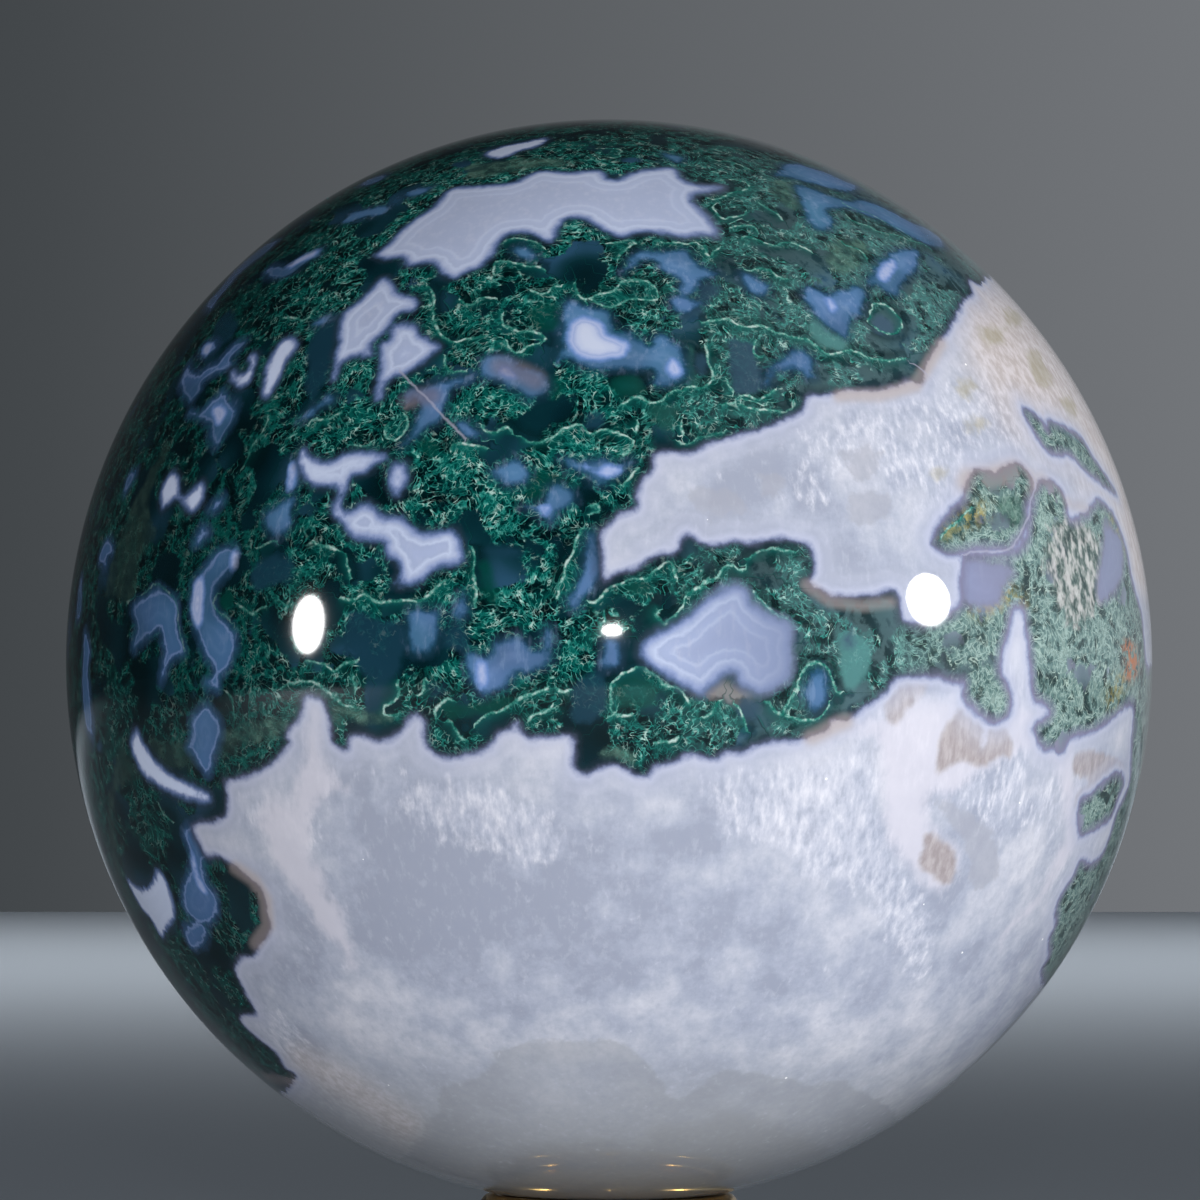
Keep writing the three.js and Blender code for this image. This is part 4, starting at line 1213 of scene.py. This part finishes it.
# %% Moss agate
def moss_agate():
    material, tree, shader = new_material("polished moss agate", IOR=1.54)
    here = add(tree, "ShaderNodeTexCoord").outputs["Object"]
    place = add(tree, "ShaderNodeMapping", {"Vector": here, "Scale": (1 / MM,) * 3})
    sway = add(tree, "ShaderNodeAttribute", attribute_name="sway").outputs["Vector"]
    swayed = add(tree, "ShaderNodeVectorMath", {0: place, 1: sway}, operation="ADD")
    rough = noisy(tree, place, 1.3, 4, 0.62)
    fuzz = noisy(tree, place, 0.75, 3, 0.62, "Color")
    colour, crest, frill = moss_paint(tree, place, sway, swayed, rough, fuzz)
    colour = chips_over(tree, colour, place, rough, fuzz)
    colour = glass_over(tree, colour, rough)
    slate = nudged(tree, stored(tree, "slate_mm"), rough, 1.4)
    # Slate windows are paler towards the right: partly their own tone, partly painted light.
    slate_colour = laid_over(tree, "#17394a", "#42596c", stored(tree, "pale"))
    colour = laid_over(tree, colour, slate_colour, between(tree, slate, -0.4, 0.6, 0.0, 0.9))
    edge = nudged(tree, stored(tree, "quartz_mm"), rough, 0.9)
    quartz, grain = quartz_paint(tree, place, rough, edge)
    blue, cover = window_paint(tree, nudged(tree, stored(tree, "blue_mm"), rough, 1.0), rough, grain)
    colour = laid_over(tree, colour, blue, cover)
    colour = laid_over(tree, colour, crest, frill)
    island, cover = island_paint(tree, place, nudged(tree, stored(tree, "island_mm"), rough, 0.9), grain)
    colour = laid_over(tree, colour, island, cover)
    shade = shaded(tree, edge, [
        (-1.1, "#122029", 0.0), (-0.5, "#25303c", 0.5), (-0.2, "#454c62", 0.85), (0.0, "#666f8e", 1.0), (0.35, "#8f96b2", 1.0),
    ])
    halo = laid_over(tree, shade.outputs["Color"], "#8583a0", times(tree, stored(tree, "sage"), 0.85))
    halo = laid_over(tree, halo, "#887e80", between(tree, stored(tree, "stain"), 0.1, 0.8, 0.0, 0.75))
    colour = laid_over(tree, colour, halo, shade.outputs["Alpha"])
    colour = laid_over(tree, colour, quartz, between(tree, edge, -0.12, 0.22))
    crack = on_line(tree, nudged(tree, stored(tree, "crack_mm"), rough, 0.5), 0.0, 0.2)
    colour = laid_over(tree, colour, "#a9a9bd", times(tree, crack, 0.6))
    tree.links.new(colour.outputs[2], shader.inputs["Base Color"])
    tree.links.new(between(tree, edge, -0.2, 0.2, 0.06, 0.035).outputs[0], shader.inputs["Roughness"])
    return material


ball.data.materials.clear()
ball.data.materials.append(moss_agate())
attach(ball, "root")
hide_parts("agate_sphere")
print("painted", ball.name)

# %% [markdown]
# ## The ring stand
# The ball would roll away, so it rests in a small turned ring. Only a sliver of the ring's lip can be seen
# in the photograph, so its upright wall and its narrow foot are a plain guess.
# A turned part is one section, swept round its axis. The section is drawn first: a vertex is pushed from
# point to point by the extrude operator, and the last edge closes it.

# %% Draw the section of the ring
ring_low, ring_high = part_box("ring_stand")
FOOT_RADIUS_MM = (ring_high.x - ring_low.x) / 2 / MM
LIP_TOP_MM = ring_high.z / MM
LIP_RADIUS_MM = 10.8  # from the axis to the middle of the rounded lip
LIP_ROUND_MM = 1.1
NECK_RADIUS_MM = 11.5
NECK_FILLET_MM = 0.6
FOOT_ROUND_MM = 0.5
FOOT_THICKNESS_MM = 1.6
RECESS_RADIUS_MM = 11.6
RECESS_DEPTH_MM = 0.4


def arc(radius, height, reach, first, last, steps):
    """Points on a round, from one angle in degrees to another."""
    angles = [math.radians(first + (last - first) * i / steps) for i in range(steps + 1)]
    return [(radius + reach * math.cos(a), height + reach * math.sin(a)) for a in angles]


shoulder = FOOT_RADIUS_MM - FOOT_ROUND_MM
fillet_middle = (NECK_RADIUS_MM + NECK_FILLET_MM, FOOT_THICKNESS_MM + NECK_FILLET_MM)
lip_start = -math.degrees(math.acos((NECK_RADIUS_MM - LIP_RADIUS_MM) / LIP_ROUND_MM))
section = [(LIP_RADIUS_MM - LIP_ROUND_MM, RECESS_DEPTH_MM), (RECESS_RADIUS_MM, RECESS_DEPTH_MM)]
section += [(RECESS_RADIUS_MM + RECESS_DEPTH_MM, 0), (shoulder, 0)]
section += arc(shoulder, FOOT_ROUND_MM, FOOT_ROUND_MM, -75, 0, 5)
section += arc(shoulder, FOOT_THICKNESS_MM - FOOT_ROUND_MM, FOOT_ROUND_MM, 0, 90, 6)
section += arc(*fillet_middle, NECK_FILLET_MM, 270, 180, 6)
section += arc(LIP_RADIUS_MM, LIP_TOP_MM - LIP_ROUND_MM, LIP_ROUND_MM, lip_start, 180, 24)

bpy.ops.object.select_all(action="DESELECT")
bpy.ops.mesh.primitive_plane_add(size=MM, location=(section[0][0] * MM, 0, section[0][1] * MM))
ring = bpy.context.object
ring.name = "turned_brass_ring"
bpy.ops.object.transform_apply(location=True)
bpy.ops.object.mode_set(mode="EDIT")
bpy.ops.mesh.select_mode(type="VERT")
bpy.ops.mesh.select_all(action="SELECT")
bpy.ops.mesh.merge(type="CENTER")
for (radius, height), (next_radius, next_height) in zip(section, section[1:]):
    step = ((next_radius - radius) * MM, 0, (next_height - height) * MM)
    bpy.ops.mesh.extrude_region_move(TRANSFORM_OT_translate={"value": step})
bpy.ops.mesh.select_all(action="SELECT")
bpy.ops.mesh.edge_face_add()
bpy.ops.mesh.delete(type="ONLY_FACE")
print("the section has", len(section), "points")

# %% [markdown]
# The spin operator is the lathe. A full turn ends where it began, so the doubled seam is merged and the faces
# are turned outwards again. Last, the corners that a turner would break with a file get a narrow bevel, which
# is what catches the light.

# %% Turn the ring
TURN_STEPS = 192
BROKEN_EDGE_MM = 0.12

bpy.ops.mesh.select_all(action="SELECT")
bpy.ops.mesh.spin(steps=TURN_STEPS, angle=2 * math.pi, center=(0, 0, 0), axis=(0, 0, 1))
bpy.ops.mesh.select_all(action="SELECT")
bpy.ops.mesh.remove_doubles(threshold=0.01 * MM)
bpy.ops.mesh.normals_make_consistent(inside=False)
bpy.ops.mesh.select_all(action="DESELECT")
bpy.ops.mesh.select_mode(type="EDGE")
bpy.ops.mesh.edges_select_sharp(sharpness=math.radians(24))
bpy.ops.mesh.bevel(offset=BROKEN_EDGE_MM * MM, segments=2, affect="EDGES", clamp_overlap=True)
bpy.ops.object.mode_set(mode="OBJECT")
bpy.ops.object.shade_smooth_by_angle(angle=math.radians(32))
print("the ring has", sum(len(p.vertices) - 2 for p in ring.data.polygons), "triangles")

# %% [markdown]
# ### Polished brass
# Brass is copper and zinc: a warm yellow metal whose reflections are tinted by it. The lathe leaves fine rings
# that stretch each highlight sideways. Real ones are a twentieth of a millimetre apart, too fine to show, so
# they are drawn six times coarser and very shallow. Handling dulls it a little in patches.

# %% Brass
TURNING_MM = 0.3


def polished_brass():
    material, tree, shader = new_material("polished brass", Metallic=1.0)
    here = add(tree, "ShaderNodeTexCoord").outputs["Object"]
    place = add(tree, "ShaderNodeMapping", {"Vector": here, "Scale": (1 / MM,) * 3})
    parts = add(tree, "ShaderNodeSeparateXYZ", {"Vector": place}).outputs
    flat = add(tree, "ShaderNodeCombineXYZ", {"X": parts["X"], "Y": parts["Y"]})
    outwards = add(tree, "ShaderNodeVectorMath", {0: flat}, operation="LENGTH").outputs["Value"]
    along = times(tree, outwards, parts["Z"], "SUBTRACT")
    turning = add(
        tree, "ShaderNodeTexNoise", {"W": along, "Scale": 1 / TURNING_MM, "Detail": 2}, noise_dimensions="1D"
    )
    handled = noisy(tree, place, 5, 3)
    colour = shaded(tree, handled, [(0.35, "#c39a50"), (0.5, "#d4ad62"), (0.65, "#dcb96f")])
    tree.links.new(colour.outputs["Color"], shader.inputs["Base Color"])
    tree.links.new(between(tree, handled, 0.35, 0.7, 0.14, 0.26).outputs[0], shader.inputs["Roughness"])
    grooves = add(tree, "ShaderNodeBump", {"Height": turning, "Strength": 0.25, "Distance": 0.02 * MM})
    tree.links.new(grooves.outputs["Normal"], shader.inputs["Normal"])
    return material


ring.data.materials.clear()
ring.data.materials.append(polished_brass())
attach(ring, "root")
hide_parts("ring_stand")
print("made", ring.name)

# %% [markdown]
# ## Floor and lights
# A plain pale floor and a grey room, darker to the left, overhead and behind the camera. A
# polished ball mirrors all its lights, so the two that show are round, left and right, and the broad fill
# lights are hidden from reflections. They light the two pieces alone and leave out the floor round them, which
# would show as a haze in the polish.

# %% Set the stage
FLOOR_BACK_M = 1.44
FLOOR_FRONT_M = -1.0
FLOOR_SIDE_M = 2.0

bpy.context.scene.view_settings.view_transform = "Standard"
bpy.ops.object.select_all(action="DESELECT")
bpy.ops.mesh.primitive_plane_add(size=1, location=(0, (FLOOR_BACK_M + FLOOR_FRONT_M) / 2, 0))
floor = bpy.context.object
floor.name = "floor"
floor.scale = (2 * FLOOR_SIDE_M, FLOOR_BACK_M - FLOOR_FRONT_M, 1)
bpy.ops.object.transform_apply(location=True, scale=True)
floor_material, floor_tree, floor_shader = new_material("pale floor", Roughness=0.7)
floor_shader.inputs["Base Color"].default_value = linear("#cdd8e4")
floor.data.materials.append(floor_material)

world = bpy.data.worlds.new("room")
world.use_nodes = True
ways = add(world.node_tree, "ShaderNodeTexCoord").outputs["Generated"]
ways = add(world.node_tree, "ShaderNodeSeparateXYZ", {"Vector": ways}).outputs
walls = add(world.node_tree, "ShaderNodeMapRange", {0: ways["X"], 1: -1.0, 2: 1.0})
walls = add(world.node_tree, "ShaderNodeValToRGB", {"Fac": walls}, stops=[
    (0.0, "#1a1c1f"), (0.40, "#34373a"), (0.455, "#43474a"), (0.545, "#727579"), (0.65, "#8d9196"), (1.0, "#9ba6b2"),
])
walls = laid_over(world.node_tree, "#060708", walls, between(world.node_tree, ways["Y"], -0.75, 0.1, 0.15, 1.0))
walls = laid_over(world.node_tree, walls, "#0c0e10", between(world.node_tree, ways["Z"], 0.2, 0.5, 0.0, 0.85))
world.node_tree.links.new(walls.outputs[2], world.node_tree.nodes["Background"].inputs["Color"])
bpy.context.scene.world = world


def round_light(name, azimuth, elevation, distance, size, watts, mirrored=True):
    """A round soft light aimed at the ball. Azimuth 0 is at the lens, and positive is to the right."""
    side, rise = math.radians(azimuth), math.radians(elevation)
    way = Vector((math.sin(side) * math.cos(rise), -math.cos(side) * math.cos(rise), math.sin(rise)))
    bpy.ops.object.light_add(type="AREA", location=ball_centre + way * distance)
    lamp = bpy.context.object
    lamp.name = name
    lamp.data.shape = "ELLIPSE"
    lamp.data.size, lamp.data.size_y = size
    lamp.data.energy = watts
    lamp.visible_camera = False
    lamp.visible_glossy = mirrored
    lamp.rotation_euler = (-way).to_track_quat("-Z", "Y").to_euler()
    return lamp


round_light("left soft light", -62.8, 6, 0.7, (0.09, 0.12), 1.1)
round_light("right soft light", 68.0, 10, 0.7, (0.13, 0.105), 1.2)
round_light("lens light", 0.6, 5.4, 0.62, (0.04, 0.02), 0.2)
fill_light = round_light("fill light", 30, 18, 1.0, (0.4, 0.4), 8.0, mirrored=False)
bounce_light = round_light("floor bounce", 0, 0, 0.6, (0.4, 0.2), 0.12, mirrored=False)
bounce_light.location = (0.0, -0.13, 0.002)
bounce_light.rotation_euler = (math.pi, 0, 0)
floor_light = round_light("floor light", 180, 40, 1.15, (1.6, 0.6), 1.7, mirrored=False)
floor_light.location = (0.0, 0.95, 0.75)
floor_light.rotation_euler = (0, 0, 0)
floor_light.data.spread = math.radians(80)

lit_pieces = bpy.data.collections.new("lit by the fill")
for piece in (ball, ring):
    lit_pieces.objects.link(piece)
for lamp in (fill_light, bounce_light):
    lamp.light_linking.receiver_collection = lit_pieces
